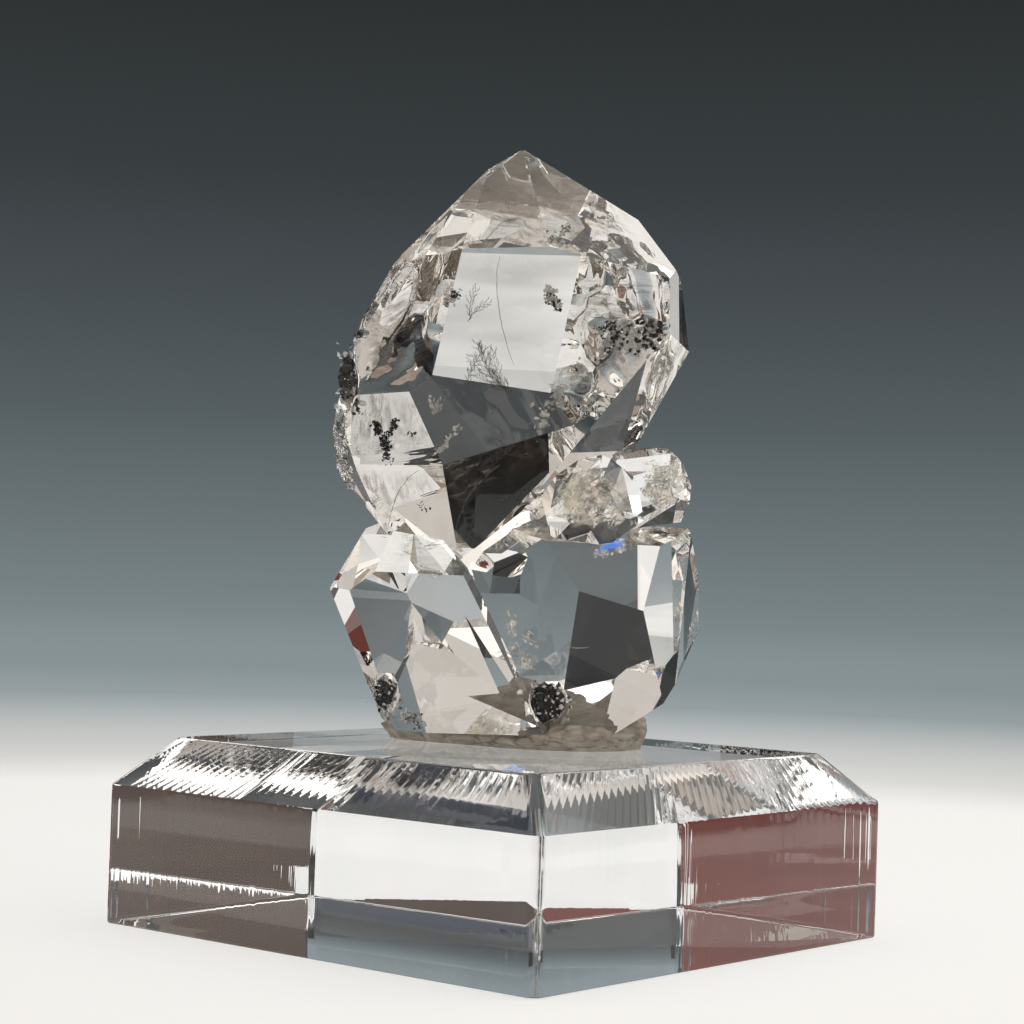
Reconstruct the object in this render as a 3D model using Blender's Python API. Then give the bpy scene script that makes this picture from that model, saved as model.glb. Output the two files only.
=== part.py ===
"""Herkimer diamond cluster on a clear display block.

Lengths are in millimetres and are turned into metres where the meshes are made.  The origin is
the centre of the block's underside, +Z is up and the block's sides lie along X and Y.
"""

import math
from dataclasses import dataclass

import bmesh
import bpy
from mathutils import Vector

MM = 0.001
GAP = 0.3  # space left between pieces that touch

# Display block
BLOCK_SIDE = 38.1
BLOCK_HEIGHT = 12.7
BEVEL_INSET = 3.1
BEVEL_DROP = 3.3
CORNER_RADIUS = 0.8
CORNER_STEPS = 4


@dataclass(frozen=True)
class Facet:
    """One flat face of a crystal: where it looks and how far it stands from the crystal's centre."""

    heading: float  # degrees round from +X
    rise: float  # degrees above level
    distance: float  # mm from the centre

    def normal(self):
        level = math.cos(math.radians(self.rise))
        return Vector(
            (
                level * math.cos(math.radians(self.heading)),
                level * math.sin(math.radians(self.heading)),
                math.sin(math.radians(self.rise)),
            )
        )


def clear_scene():
    for item in list(bpy.data.objects):
        bpy.data.objects.remove(item, do_unlink=True)


def material(name, colour, roughness, transmission=0.0, ior=1.5):
    made = bpy.data.materials.new(name)
    made.use_nodes = True
    shader = made.node_tree.nodes["Principled BSDF"]
    shader.inputs["Base Color"].default_value = (*colour, 1.0)
    shader.inputs["Roughness"].default_value = roughness
    shader.inputs["Transmission Weight"].default_value = transmission
    shader.inputs["IOR"].default_value = ior
    return made


def object_from(name, mesh_data, finish=None):
    mesh = bpy.data.meshes.new(name)
    bmesh.ops.recalc_face_normals(mesh_data, faces=mesh_data.faces)
    mesh_data.to_mesh(mesh)
    mesh_data.free()
    made = bpy.data.objects.new(name, mesh)
    bpy.context.scene.collection.objects.link(made)
    if finish is not None:
        mesh.materials.append(finish)
    return made


def cut_solid(centre, facets, grow=0.0):
    """A convex solid: a large cube cut by one plane per facet."""
    solid = bmesh.new()
    bmesh.ops.create_cube(solid, size=120 * MM)
    bmesh.ops.translate(solid, verts=solid.verts, vec=Vector(centre) * MM)
    for facet in facets:
        normal = facet.normal()
        point = (Vector(centre) + normal * (facet.distance + grow)) * MM
        cut = bmesh.ops.bisect_plane(
            solid,
            geom=solid.verts[:] + solid.edges[:] + solid.faces[:],
            dist=1e-8,
            plane_co=point,
            plane_no=normal,
            clear_outer=True,
        )
        rim = [item for item in cut["geom_cut"] if isinstance(item, bmesh.types.BMEdge)]
        if rim:
            bmesh.ops.contextual_create(solid, geom=rim)
    return solid


# The crystals grew together at different angles, so each has its own centre and its own facets.
UPPER_CENTRE = (-3.5, 4.8, 39.9)
UPPER = (
    Facet(-55, -3.5, 9.3),  # broad front face
    Facet(-71, 45, 12.05),  # front top, left
    Facet(-57.5, 45, 11.75),  # front top, middle
    Facet(-39.5, 47, 12.0),  # front top, right
    Facet(10.5, -1, 13.75),  # narrow right side
    Facet(-0.5, -34, 11.1),  # lower right
    Facet(4.5, -47, 11.75),  # underside, right
    Facet(-168.5, -47.5, 12.1),  # underside, left
    Facet(-169, -54, 12.65),  # underside, left, steeper
    Facet(-116.5, -18.5, 15.25),  # left rim
    Facet(-113, -24.5, 15.7),  # left rim, lower
    Facet(-141, -9.5, 13.5),  # left side
    Facet(-140.5, 14.5, 10.95),  # left side, above the pit
    Facet(-141.5, 28.5, 10.25),  # left shoulder
    Facet(-139.5, 39.5, 10.55),  # left shoulder, upper
    Facet(-167.5, 40, 9.3),  # left of the tip
    Facet(52.5, 52, 11.5),  # back top, right
    Facet(41.5, 31.5, 11.6),  # right shoulder
    Facet(47, 11.5, 10.45),  # right side, back
    Facet(44, -25.5, 9.8),  # right side, back, lower
    Facet(84, 16.5, 7.6),  # broad back right face
    Facet(-177, 28, 7.8),  # back left face, upper
    Facet(175.5, -31, 9.55),  # back left face, lower
    Facet(175, -38.5, 9.85),  # back left face, lowest
    Facet(136.5, 32, 6.55),  # back top
    Facet(143, -25, 8.15),  # back, below the middle
    Facet(133.5, -43.5, 8.6),  # back, lowest
)

LOWER_RIGHT_CENTRE = (4.8, 5.1, 22.3)
LOWER_RIGHT = (
    Facet(-40, 24.5, 4.7),  # upper front face
    Facet(-50, -10.5, 4.7),  # lower front face
    Facet(-84, -5, 5.2),  # front left
    Facet(3.5, 5.5, 4.7),  # right side, front
    Facet(18.5, 1, 5.2),  # right side, outer strip
    Facet(-39, 67.5, 5.4),  # top, front
    Facet(130.5, 81.5, 6.0),  # top, back
    Facet(47.5, 19, 7.3),  # right shoulder
    Facet(97.5, 1, 5.8),  # back right
    Facet(154.5, 1, 4.6),  # back left
    Facet(72, -49, 5.6),  # underside, right
    Facet(126, -61, 6.4),  # underside, back
)

FRONT_SMALL_CENTRE = (5.2, 2.4, 29.8)
FRONT_SMALL = (
    Facet(-47, 4, 2.7),
    Facet(-90, 10, 2.8),
    Facet(-9, 21, 2.8),
    Facet(-30, -39, 2.8),
    Facet(-72, 44, 2.6),
    Facet(-154, 38, 2.9),
    Facet(163, 77, 2.8),
    Facet(60, 57, 2.8),
    Facet(52, 7, 3.1),
    Facet(60, -48, 2.9),
    Facet(173, -72, 2.5),
    Facet(-153, -20, 2.9),
    Facet(113, 13, 3.2),
    Facet(163, 18, 3.2),
)

RIGHT_SMALL_CENTRE = (6.3, 8.3, 31.0)
RIGHT_SMALL = (
    Facet(-42, 6, 2.3),
    Facet(-7, 15, 2.2),
    Facet(-44, 45, 2.3),
    Facet(-22, -38, 2.4),
    Facet(-159, 55, 3.1),
    Facet(147, 79, 2.6),
    Facet(55, 42, 2.3),
    Facet(52, 21, 2.2),
    Facet(53, -12, 2.2),
    Facet(110, -76, 2.4),
    Facet(81, 8, 2.2),
    Facet(113, 13, 2.4),
    Facet(132, 50, 2.4),
    Facet(-150, -5, 3.2),
)

WEDGE_CENTRE = (0.3, 1.0, 26.1)
WEDGE = (
    Facet(-71, 28, 2.3),
    Facet(-32, 24, 2.3),
    Facet(-49, -19, 2.6),
    Facet(-99, -8, 3.1),
    Facet(-157, 49, 2.2),
    Facet(-153, -20, 3.4),
    Facet(62, 61, 3.2),
    Facet(34, 2, 3.2),
    Facet(130, 1, 3.0),
    Facet(77, -88, 2.8),
)

LOWER_LEFT_CENTRE = (-3.6, -4.1, 19.5)
LOWER_LEFT = (
    Facet(-45.5, -3.5, 3.8),  # front face
    Facet(-108, -20, 5.1),  # left edge of the front
    Facet(-101.5, 45, 7.4),  # top left
    Facet(-44.5, 48.5, 6.4),  # top
    Facet(4, 20.5, 5.7),  # narrow bright strip on the right
    Facet(-158, -23, 3.8),  # left side
    Facet(-147.5, 20, 7.2),  # left shoulder
    Facet(-165, 71, 9.1),  # top back
    Facet(61, 28, 3.7),  # right side, back
    Facet(141, -65, 3.8),  # underside
    Facet(-171.5, 33.5, 8.8),  # back shoulder
    Facet(139.5, -39.5, 7.3),  # back lower face
)

# Every crystal ends level just above the block, where the putty holds it.
FOOT_HEIGHT = 13.7

# Pits that hold carbon: centre and half sizes of each lump, mm
FRONT_PIT = ((3.9, 0.0, 15.9), (1.3, 1.3, 1.35))
RIM_PIT = ((-7.8, -8.8, 37.6), (0.8, 0.8, 2.1))
LOW_PIT = ((-3.2, -8.6, 16.3), (0.7, 0.8, 1.2))

# Putty: reach from its centre at twelve headings, 30 degrees apart from +X, and its height there
PUTTY_CENTRE = (-0.5, 4.2)
PUTTY_REACH = (8.6, 8.0, 8.0, 8.0, 8.4, 9.2, 10.6, 11.2, 8.6, 6.8, 7.3, 8.4)
PUTTY_HEIGHT = (2.2, 2.8, 3.4, 3.6, 3.4, 3.0, 2.4, 2.0, 1.6, 1.5, 1.5, 1.8)
PUTTY_CROWN = 3.0


def display_block(finish):
    """Square block with rounded upright edges and a wide bevel round its top."""
    block = bmesh.new()
    half = BLOCK_SIDE / 2
    rings = []
    for inset, height in (
        (0.0, 0.0),
        (0.0, BLOCK_HEIGHT - BEVEL_DROP),
        (BEVEL_INSET, BLOCK_HEIGHT),
    ):
        ring = []
        for corner in range(4):
            turn = math.radians(90 * corner)
            for step in range(CORNER_STEPS + 1):
                angle = turn + math.radians(90) * step / CORNER_STEPS
                reach = half - CORNER_RADIUS - inset
                sign_x = 1 if corner in (0, 3) else -1
                sign_y = 1 if corner in (0, 1) else -1
                x = sign_x * reach + CORNER_RADIUS * math.cos(angle)
                y = sign_y * reach + CORNER_RADIUS * math.sin(angle)
                ring.append(block.verts.new((x * MM, y * MM, height * MM)))
        rings.append(ring)
    for low, high in zip(rings, rings[1:]):
        for i in range(len(low)):
            j = (i + 1) % len(low)
            block.faces.new((low[i], low[j], high[j], high[i]))
    block.faces.new(rings[0])
    block.faces.new(rings[-1])
    return object_from("display_block", block, finish)


def putty_lump(finish):
    """Low mound that swells a little above the block and rounds over to its crown."""
    lump = bmesh.new()
    sections = ((0.0, 0.96), (0.3, 1.0), (0.75, 0.97), (1.0, 0.84))
    rings = []
    count = len(PUTTY_REACH) * 3
    for share, spread in sections:
        ring = []
        for i in range(count):
            place = i * len(PUTTY_REACH) / count
            low = int(place)
            high = (low + 1) % len(PUTTY_REACH)
            blend = (1 - math.cos(math.pi * (place - low))) / 2
            reach = PUTTY_REACH[low] * (1 - blend) + PUTTY_REACH[high] * blend
            height = PUTTY_HEIGHT[low] * (1 - blend) + PUTTY_HEIGHT[high] * blend
            angle = 2 * math.pi * i / count
            x = PUTTY_CENTRE[0] + reach * spread * math.cos(angle)
            y = PUTTY_CENTRE[1] + reach * spread * math.sin(angle)
            z = BLOCK_HEIGHT + GAP + height * share
            ring.append(lump.verts.new((x * MM, y * MM, z * MM)))
        rings.append(ring)
    for low, high in zip(rings, rings[1:]):
        for i in range(count):
            j = (i + 1) % count
            lump.faces.new((low[i], low[j], high[j], high[i]))
    lump.faces.new(rings[0])
    crown = lump.verts.new(
        (PUTTY_CENTRE[0] * MM, PUTTY_CENTRE[1] * MM, (BLOCK_HEIGHT + GAP + PUTTY_CROWN) * MM)
    )
    for i in range(count):
        lump.faces.new((rings[-1][i], rings[-1][(i + 1) % count], crown))
    return object_from("mounting_putty", lump, finish)


def rough_lump(name, place, grow, finish=None):
    """A knobbly ellipsoid; grow widens it into the pit that holds it."""
    centre, half_sizes = place
    lump = bmesh.new()
    bmesh.ops.create_icosphere(lump, subdivisions=2, radius=1.0)
    for vert in lump.verts:
        x, y, z = vert.co
        knobs = 1 + 0.12 * math.sin(5 * x + 2 * z) * math.cos(4 * y - 3 * z)
        for axis in range(3):
            vert.co[axis] = (centre[axis] + vert.co[axis] * (half_sizes[axis] * knobs + grow)) * MM
    return object_from(name, lump, finish)


def hide(cutter):
    cutter.hide_render = True
    cutter.display_type = "WIRE"


def combine(target, other, operation):
    change = target.modifiers.new(operation.lower() + "_" + other.name, "BOOLEAN")
    change.operation = operation
    change.solver = "EXACT"
    change.object = other
    hide(other)


def with_foot(facets, centre):
    return facets + (Facet(0, -90, centre[2] - FOOT_HEIGHT),)


def build():
    clear_scene()
    quartz = material("clear_quartz", (1.0, 1.0, 1.0), 0.0, 1.0, 1.544)
    acrylic = material("clear_acrylic", (1.0, 1.0, 1.0), 0.02, 1.0, 1.49)
    putty_grey = material("mineral_putty", (0.42, 0.38, 0.33), 0.8)
    carbon = material("black_carbon", (0.015, 0.014, 0.013), 0.35)

    display_block(acrylic)

    crystals = (
        ("upper", UPPER_CENTRE, UPPER),
        ("lower_left", LOWER_LEFT_CENTRE, LOWER_LEFT),
        ("lower_right", LOWER_RIGHT_CENTRE, LOWER_RIGHT),
        ("front_small", FRONT_SMALL_CENTRE, FRONT_SMALL),
        ("right_small", RIGHT_SMALL_CENTRE, RIGHT_SMALL),
        ("wedge", WEDGE_CENTRE, WEDGE),
    )
    cluster = None
    for name, centre, facets in crystals:
        solid = cut_solid(centre, with_foot(facets, centre))
        if cluster is None:
            cluster = object_from("crystal_cluster", solid, quartz)
        else:
            combine(cluster, object_from("crystal_" + name, solid), "UNION")
    pits = (
        ("carbon_front", FRONT_PIT),
        ("carbon_left_rim", RIM_PIT),
        ("carbon_low_left", LOW_PIT),
    )
    putty = putty_lump(putty_grey)
    for name, place in pits:
        rough_lump(name, place, 0.0, carbon)
        pit = rough_lump("pit_" + name, place, GAP)
        combine(cluster, pit, "DIFFERENCE")
        combine(putty, pit, "DIFFERENCE")
    for name, centre, facets in crystals[:3]:
        socket = cut_solid(centre, with_foot(facets, centre), GAP)
        combine(putty, object_from("socket_" + name, socket), "DIFFERENCE")


build()
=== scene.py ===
"""Looks of a herkimer diamond cluster held in putty on a clear display block.

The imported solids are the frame.  The crystals and the block keep their solids and get clear
finishes; the putty and the carbon get finer surfaces that stand for their solids; healed
fractures, cracks and small growths are added where the specimen has them.
"""

import logging
import math
from dataclasses import dataclass
from enum import Enum

import bmesh
import bpy
import numpy as np
from mathutils import Matrix, Vector
from mathutils.bvhtree import BVHTree


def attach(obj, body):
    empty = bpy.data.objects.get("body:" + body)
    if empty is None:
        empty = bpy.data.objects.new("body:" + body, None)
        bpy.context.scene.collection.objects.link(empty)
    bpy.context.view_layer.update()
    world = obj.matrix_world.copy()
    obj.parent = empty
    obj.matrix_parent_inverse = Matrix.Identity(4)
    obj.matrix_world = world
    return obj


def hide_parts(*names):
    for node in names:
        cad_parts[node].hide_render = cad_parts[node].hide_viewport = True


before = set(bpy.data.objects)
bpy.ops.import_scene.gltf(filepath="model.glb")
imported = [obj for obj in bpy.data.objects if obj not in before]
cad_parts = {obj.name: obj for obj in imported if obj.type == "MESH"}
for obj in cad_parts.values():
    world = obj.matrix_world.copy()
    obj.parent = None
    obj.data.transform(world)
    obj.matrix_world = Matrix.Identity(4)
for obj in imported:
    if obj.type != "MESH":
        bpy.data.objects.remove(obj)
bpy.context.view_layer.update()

MM = 0.001
LOG = logging.getLogger("scene")

# Photograph's viewpoint, mm and unit vectors in the row frame
EYE = np.array([107.33, -128.00, 24.86])
RIGHT = np.array([0.76701, 0.64082, 0.03240])
UP = np.array([-0.00939, -0.03928, 0.99918])
BACK = np.array([0.64157, -0.76669, -0.02411])
LENS = 84.64
SENSOR = 36.0
FOCAL_PIXELS = LENS / SENSOR * 1024


def unit(vector: np.ndarray) -> np.ndarray:
    """Returns the vector or vectors scaled to length one."""
    return vector / np.linalg.norm(vector, axis=-1, keepdims=True)


def sight(x: float, y: float, depth: float) -> np.ndarray:
    """Finds the point that the photograph shows at a pixel.

    Args:
        x: Pixels from the photograph's left edge.
        y: Pixels from its top edge.
        depth: Millimetres in front of the viewpoint.

    Returns:
        The point in millimetres, in the row frame.
    """
    across = (x - 512) / FOCAL_PIXELS
    above = (512 - y) / FOCAL_PIXELS
    return EYE + depth * (across * RIGHT + above * UP - BACK)


class Graph:
    """Adds nodes to one node tree and joins them."""

    def __init__(self, tree: bpy.types.NodeTree) -> None:
        """Keeps the tree that the nodes go into."""
        self.tree = tree

    def node(self, kind: str, **settings: object) -> bpy.types.Node:
        """Adds one node.

        Args:
            kind: Blender's type name without the leading ShaderNode.
            settings: Properties of the node, by name.

        Returns:
            The new node.
        """
        made = self.tree.nodes.new("ShaderNode" + kind)
        for name, value in settings.items():
            setattr(made, name, value)
        return made

    def join(self, source: bpy.types.NodeSocket, target: bpy.types.NodeSocket) -> None:
        """Links an output to an input."""
        self.tree.links.new(source, target)

    def math(self, operation: str, first: object, second: object = 0.0) -> bpy.types.NodeSocket:
        """Adds a Math node.

        Args:
            operation: Blender's name of the operation.
            first: A socket or a number.
            second: A socket or a number.

        Returns:
            The node's output.
        """
        made = self.node("Math", operation=operation)
        for place, value in enumerate((first, second)):
            if isinstance(value, bpy.types.NodeSocket):
                self.join(value, made.inputs[place])
            else:
                made.inputs[place].default_value = value
        return made.outputs[0]

    def noise(self, where: bpy.types.NodeSocket, scale: float, detail: float = 3.0,
              roughness: float = 0.5, distortion: float = 0.0) -> bpy.types.NodeSocket:
        """Adds a noise texture.

        Args:
            where: Coordinates, in metres.
            scale: Features per metre.
            detail: Octaves.
            roughness: Share of the finer octaves.
            distortion: How far the pattern is swirled.

        Returns:
            The noise value, about 0 to 1.
        """
        made = self.node("TexNoise")
        made.inputs["Scale"].default_value = scale
        made.inputs["Detail"].default_value = detail
        made.inputs["Roughness"].default_value = roughness
        made.inputs["Distortion"].default_value = distortion
        self.join(where, made.inputs["Vector"])
        return made.outputs[0]

    def spread(self, value: bpy.types.NodeSocket, low: float, high: float,
               to_low: float = 0.0, to_high: float = 1.0) -> bpy.types.NodeSocket:
        """Adds a clamped Map Range.

        Args:
            value: The socket to map.
            low: Input mapped to to_low.
            high: Input mapped to to_high.
            to_low: Output at low.
            to_high: Output at high.

        Returns:
            The mapped value.
        """
        made = self.node("MapRange")
        for name, number in (("From Min", low), ("From Max", high), ("To Min", to_low), ("To Max", to_high)):
            made.inputs[name].default_value = number
        self.join(value, made.inputs["Value"])
        return made.outputs[0]

    def ramp(self, value: bpy.types.NodeSocket, stops: tuple) -> bpy.types.NodeSocket:
        """Adds a colour ramp.

        Args:
            value: The socket that picks the colour.
            stops: Pairs of position and (red, green, blue).

        Returns:
            The colour.
        """
        made = self.node("ValToRGB")
        bar = made.color_ramp.elements
        while len(bar) < len(stops):
            bar.new(1.0)
        for element, (position, colour) in zip(bar, stops):
            element.position = position
            element.color = (*colour, 1.0)
        self.join(value, made.inputs["Fac"])
        return made.outputs[0]

    def bump(self, height: bpy.types.NodeSocket, distance: float, strength: float = 1.0,
             before: bpy.types.NodeSocket | None = None) -> bpy.types.NodeSocket:
        """Adds a Bump node.

        Args:
            height: The height, 0 to 1.
            distance: Metres that a height of 1 stands for.
            strength: Blender's strength.
            before: Normal of an earlier Bump node.

        Returns:
            The bent normal.
        """
        made = self.node("Bump")
        made.inputs["Strength"].default_value = strength
        made.inputs["Distance"].default_value = distance
        self.join(height, made.inputs["Height"])
        if before is not None:
            self.join(before, made.inputs["Normal"])
        return made.outputs[0]


def new_material(name: str) -> tuple[bpy.types.Material, Graph, bpy.types.Node]:
    """Starts a material with one Principled shader.

    Args:
        name: The material's name.

    Returns:
        The material, its graph and its Principled node.
    """
    made = bpy.data.materials.new(name)
    made.use_nodes = True
    shader = made.node_tree.nodes["Principled BSDF"]
    return made, Graph(made.node_tree), shader


def shape_group(name: str, outputs: tuple[str, ...]) -> tuple[bpy.types.NodeTree, Graph]:
    """Starts a shader node group that reads a vector and puts out numbers.

    Args:
        name: The group's name.
        outputs: Names of its output values.

    Returns:
        The group and its graph, with an input and an output node in it.
    """
    group = bpy.data.node_groups.new(name, "ShaderNodeTree")
    group.interface.new_socket("Place", in_out="INPUT", socket_type="NodeSocketVector")
    group.interface.new_socket("Scale", in_out="INPUT", socket_type="NodeSocketFloat")
    for output in outputs:
        group.interface.new_socket(output, in_out="OUTPUT", socket_type="NodeSocketFloat")
    return group, Graph(group)


class Effects:
    """Node groups that several finishes share."""

    def __init__(self) -> None:
        """Builds every group once."""
        self.grime = self.build_grime()
        self.scratches = self.build_scratches()

    def build_grime(self) -> bpy.types.NodeTree:
        """Returns a group whose Specks mask is bright where dust sits and whose Cloud drifts slowly."""
        group, graph = shape_group("grime", ("Specks", "Cloud"))
        entry = graph.tree.nodes.new("NodeGroupInput")
        leave = graph.tree.nodes.new("NodeGroupOutput")
        scaled = graph.node("VectorMath", operation="SCALE")
        graph.join(entry.outputs["Place"], scaled.inputs[0])
        graph.join(entry.outputs["Scale"], scaled.inputs["Scale"])
        cells = graph.node("TexVoronoi")
        cells.inputs["Scale"].default_value = 1.0
        graph.join(scaled.outputs[0], cells.inputs["Vector"])
        specks = graph.spread(cells.outputs["Distance"], 0.02, 0.10, 1.0, 0.0)
        graph.join(specks, leave.inputs["Specks"])
        graph.join(graph.noise(scaled.outputs[0], 0.3, 4.0, 0.6), leave.inputs["Cloud"])
        return group

    def build_scratches(self) -> bpy.types.NodeTree:
        """Returns a group whose Height holds sparse hair scratches that cross at a few angles."""
        group, graph = shape_group("scratches", ("Height",))
        entry = graph.tree.nodes.new("NodeGroupInput")
        leave = graph.tree.nodes.new("NodeGroupOutput")
        total = None
        for turn, stretch in ((0.4, 26.0), (1.3, 34.0), (2.2, 30.0)):
            place = graph.node("Mapping")
            place.inputs["Rotation"].default_value = (turn * 0.7, turn, turn * 1.7)
            place.inputs["Scale"].default_value = (1.0, stretch, stretch)
            graph.join(entry.outputs["Place"], place.inputs["Vector"])
            scaled = graph.node("VectorMath", operation="SCALE")
            graph.join(place.outputs[0], scaled.inputs[0])
            graph.join(entry.outputs["Scale"], scaled.inputs["Scale"])
            value = graph.noise(scaled.outputs[0], 1.0, 1.0, 0.4, 0.3)
            line = graph.spread(value, 0.70, 0.78)
            total = line if total is None else graph.math("MAXIMUM", total, line)
        graph.join(total, leave.inputs["Height"])
        return group

    def place(self, graph: Graph, group: bpy.types.NodeTree, where: bpy.types.NodeSocket,
              scale: float) -> bpy.types.Node:
        """Puts one group into a material.

        Args:
            graph: The material's graph.
            group: The group.
            where: Coordinates in metres.
            scale: Features per metre.

        Returns:
            The group's node.
        """
        made = graph.node("Group")
        made.node_tree = group
        graph.join(where, made.inputs["Place"])
        made.inputs["Scale"].default_value = scale
        return made


@dataclass(frozen=True)
class ClearCrystal:
    """Water-clear quartz with a trace of smoke that drifts from place to place."""

    name: str = "clear_quartz"
    ior: float = 1.544
    tint: tuple[float, float, float] = (0.90, 0.84, 0.76)
    density: float = 9.0

    def build(self, effects: Effects) -> bpy.types.Material:
        """Makes the material.

        Args:
            effects: The shared node groups; not used.

        Returns:
            The finished material.
        """
        made, graph, shader = new_material(self.name)
        place = graph.node("TexCoord").outputs["Object"]
        smoke = graph.noise(place, 160.0, 1.0, 0.5)
        graph.join(graph.ramp(smoke, ((0.30, (0.93, 0.92, 0.905)), (0.60, (1.0, 1.0, 1.0)))),
                   shader.inputs["Base Color"])
        shader.inputs["Roughness"].default_value = 0.0
        shader.inputs["IOR"].default_value = self.ior
        shader.inputs["Transmission Weight"].default_value = 1.0
        body = graph.node("VolumeAbsorption")
        body.inputs["Color"].default_value = (*self.tint, 1.0)
        body.inputs["Density"].default_value = self.density
        graph.join(body.outputs[0], graph.tree.nodes["Material Output"].inputs["Volume"])
        return made


@dataclass(frozen=True)
class ClearAcrylic:
    """Cast acrylic with a faint cool tint; its ripples and machining lines are in its surface."""

    name: str = "clear_acrylic"
    ior: float = 1.49

    def build(self, effects: Effects) -> bpy.types.Material:
        """Makes the material.

        Args:
            effects: The shared node groups; not used.

        Returns:
            The finished material.
        """
        made, graph, shader = new_material(self.name)
        place = graph.node("TexCoord").outputs["Object"]
        haze = graph.noise(place, 220.0, 1.0, 0.5)
        graph.join(graph.ramp(haze, ((0.35, (0.94, 0.96, 0.965)), (0.62, (1.0, 1.0, 1.0)))),
                   shader.inputs["Base Color"])
        shader.inputs["Roughness"].default_value = 0.0
        shader.inputs["IOR"].default_value = self.ior
        shader.inputs["Transmission Weight"].default_value = 1.0
        return made


@dataclass(frozen=True)
class MineralPutty:
    """Matte grey-beige putty with pale streaks and pressed creases, darkened in its folds by painted shade."""

    name: str = "mineral_putty"

    def build(self, effects: Effects) -> bpy.types.Material:
        """Makes the material.

        Args:
            effects: The shared node groups.

        Returns:
            The finished material.
        """
        made, graph, shader = new_material(self.name)
        place = graph.node("TexCoord").outputs["Object"]
        streak = graph.node("Mapping")
        streak.inputs["Rotation"].default_value = (0.3, 0.5, 0.8)
        streak.inputs["Scale"].default_value = (1.0, 0.35, 1.6)
        graph.join(place, streak.inputs["Vector"])
        swirl = graph.noise(streak.outputs[0], 520.0, 6.0, 0.62, 1.6)
        # Partly the putty's own streaks, partly painted shade: the darkest colours sit where the swirl's bump sinks,
        # and the paler colours are the putty's own streaks.
        colour = graph.ramp(swirl, (
            (0.25, (0.260, 0.222, 0.176)),
            (0.45, (0.470, 0.415, 0.345)),
            (0.60, (0.600, 0.545, 0.465)),
            (0.80, (0.760, 0.710, 0.630)),
        ))
        specks = effects.place(graph, effects.grime, place, 1500.0).outputs["Specks"]
        mixed = graph.node("Mix", data_type="RGBA")
        graph.join(graph.math("MULTIPLY", specks, 0.35), mixed.inputs["Factor"])
        graph.join(colour, mixed.inputs["A"])
        mixed.inputs["B"].default_value = (0.62, 0.60, 0.56, 1.0)
        graph.join(mixed.outputs["Result"], shader.inputs["Base Color"])
        graph.join(graph.spread(swirl, 0.3, 0.7, 0.85, 0.6), shader.inputs["Roughness"])
        fine = graph.noise(streak.outputs[0], 2600.0, 5.0, 0.65, 0.6)
        first = graph.bump(swirl, 0.16 * MM, 1.0)
        graph.join(graph.bump(fine, 0.03 * MM, 0.8, first), shader.inputs["Normal"])
        return made


@dataclass(frozen=True)
class BlackCarbon:
    """Black carbon with dull hollows and glassy chips."""

    name: str = "black_carbon"

    def build(self, effects: Effects) -> bpy.types.Material:
        """Makes the material.

        Args:
            effects: The shared node groups.

        Returns:
            The finished material.
        """
        made, graph, shader = new_material(self.name)
        place = graph.node("TexCoord").outputs["Object"]
        cloud = effects.place(graph, effects.grime, place, 3200.0).outputs["Cloud"]
        colour = graph.ramp(cloud, ((0.35, (0.004, 0.004, 0.004)), (0.62, (0.020, 0.018, 0.016)),
                                    (0.78, (0.10, 0.085, 0.065))))
        graph.join(colour, shader.inputs["Base Color"])
        graph.join(graph.spread(cloud, 0.35, 0.65, 0.12, 0.6), shader.inputs["Roughness"])
        graph.join(graph.bump(cloud, 0.05 * MM, 0.9), shader.inputs["Normal"])
        return made


@dataclass(frozen=True)
class Film:
    """Thin gap or healed fracture inside the quartz: bright where it opens, clear where it closes."""

    name: str
    colour: tuple[float, float, float]
    metallic: float
    roughness: float
    stretch: tuple[float, float]
    open_low: float
    open_high: float
    strength: float
    relief: float = 0.03 * MM
    soft_rim: float = 0.18
    shade: float = 0.62
    # glow: strength of a painted glow, emission that brightens the film where lamp light doesn't reach it inside the
    # quartz.
    glow: float = 0.0

    def build(self, effects: Effects) -> bpy.types.Material:
        """Makes the material from streaks laid out in the film's own coordinates.

        Args:
            effects: The shared node groups; not used.

        Returns:
            The finished material.
        """
        made, graph, shader = new_material(self.name)
        own = graph.node("TexCoord").outputs["UV"]
        place = graph.node("TexCoord").outputs["Object"]
        laid = graph.node("Mapping")
        laid.inputs["Scale"].default_value = (*self.stretch, 1.0)
        graph.join(own, laid.inputs["Vector"])
        streak = graph.noise(laid.outputs[0], 1.0, 4.0, 0.6, 0.9)
        fine = graph.noise(place, 900.0, 2.0, 0.6, 0.5)
        parts = graph.node("SeparateXYZ")
        graph.join(own, parts.inputs[0])
        rims = []
        for axis in ("X", "Y"):
            centred = graph.math("ABSOLUTE", graph.math("SUBTRACT", parts.outputs[axis], 0.5))
            rims.append(graph.spread(centred, 0.5 - self.soft_rim, 0.5, 1.0, 0.0))
        rim = graph.math("MULTIPLY", rims[0], rims[1])
        mixed = graph.math("ADD", graph.math("MULTIPLY", streak, 0.75), graph.math("MULTIPLY", fine, 0.25))
        opened = graph.spread(mixed, self.open_low, self.open_high, 0.0, self.strength)
        graph.join(graph.math("MULTIPLY", opened, rim), shader.inputs["Alpha"])
        shade = tuple(channel * self.shade for channel in self.colour)
        graph.join(graph.ramp(fine, ((0.35, shade), (0.65, self.colour))), shader.inputs["Base Color"])
        shader.inputs["Metallic"].default_value = self.metallic
        shader.inputs["Roughness"].default_value = self.roughness
        # Painted glow: the film emits its own colour at the glow strength, standing in for light falling on it.
        shader.inputs["Emission Color"].default_value = (*self.colour, 1.0)
        shader.inputs["Emission Strength"].default_value = self.glow
        made.cycles.emission_sampling = "NONE"
        graph.join(graph.bump(mixed, self.relief, 1.0), shader.inputs["Normal"])
        return made


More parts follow.
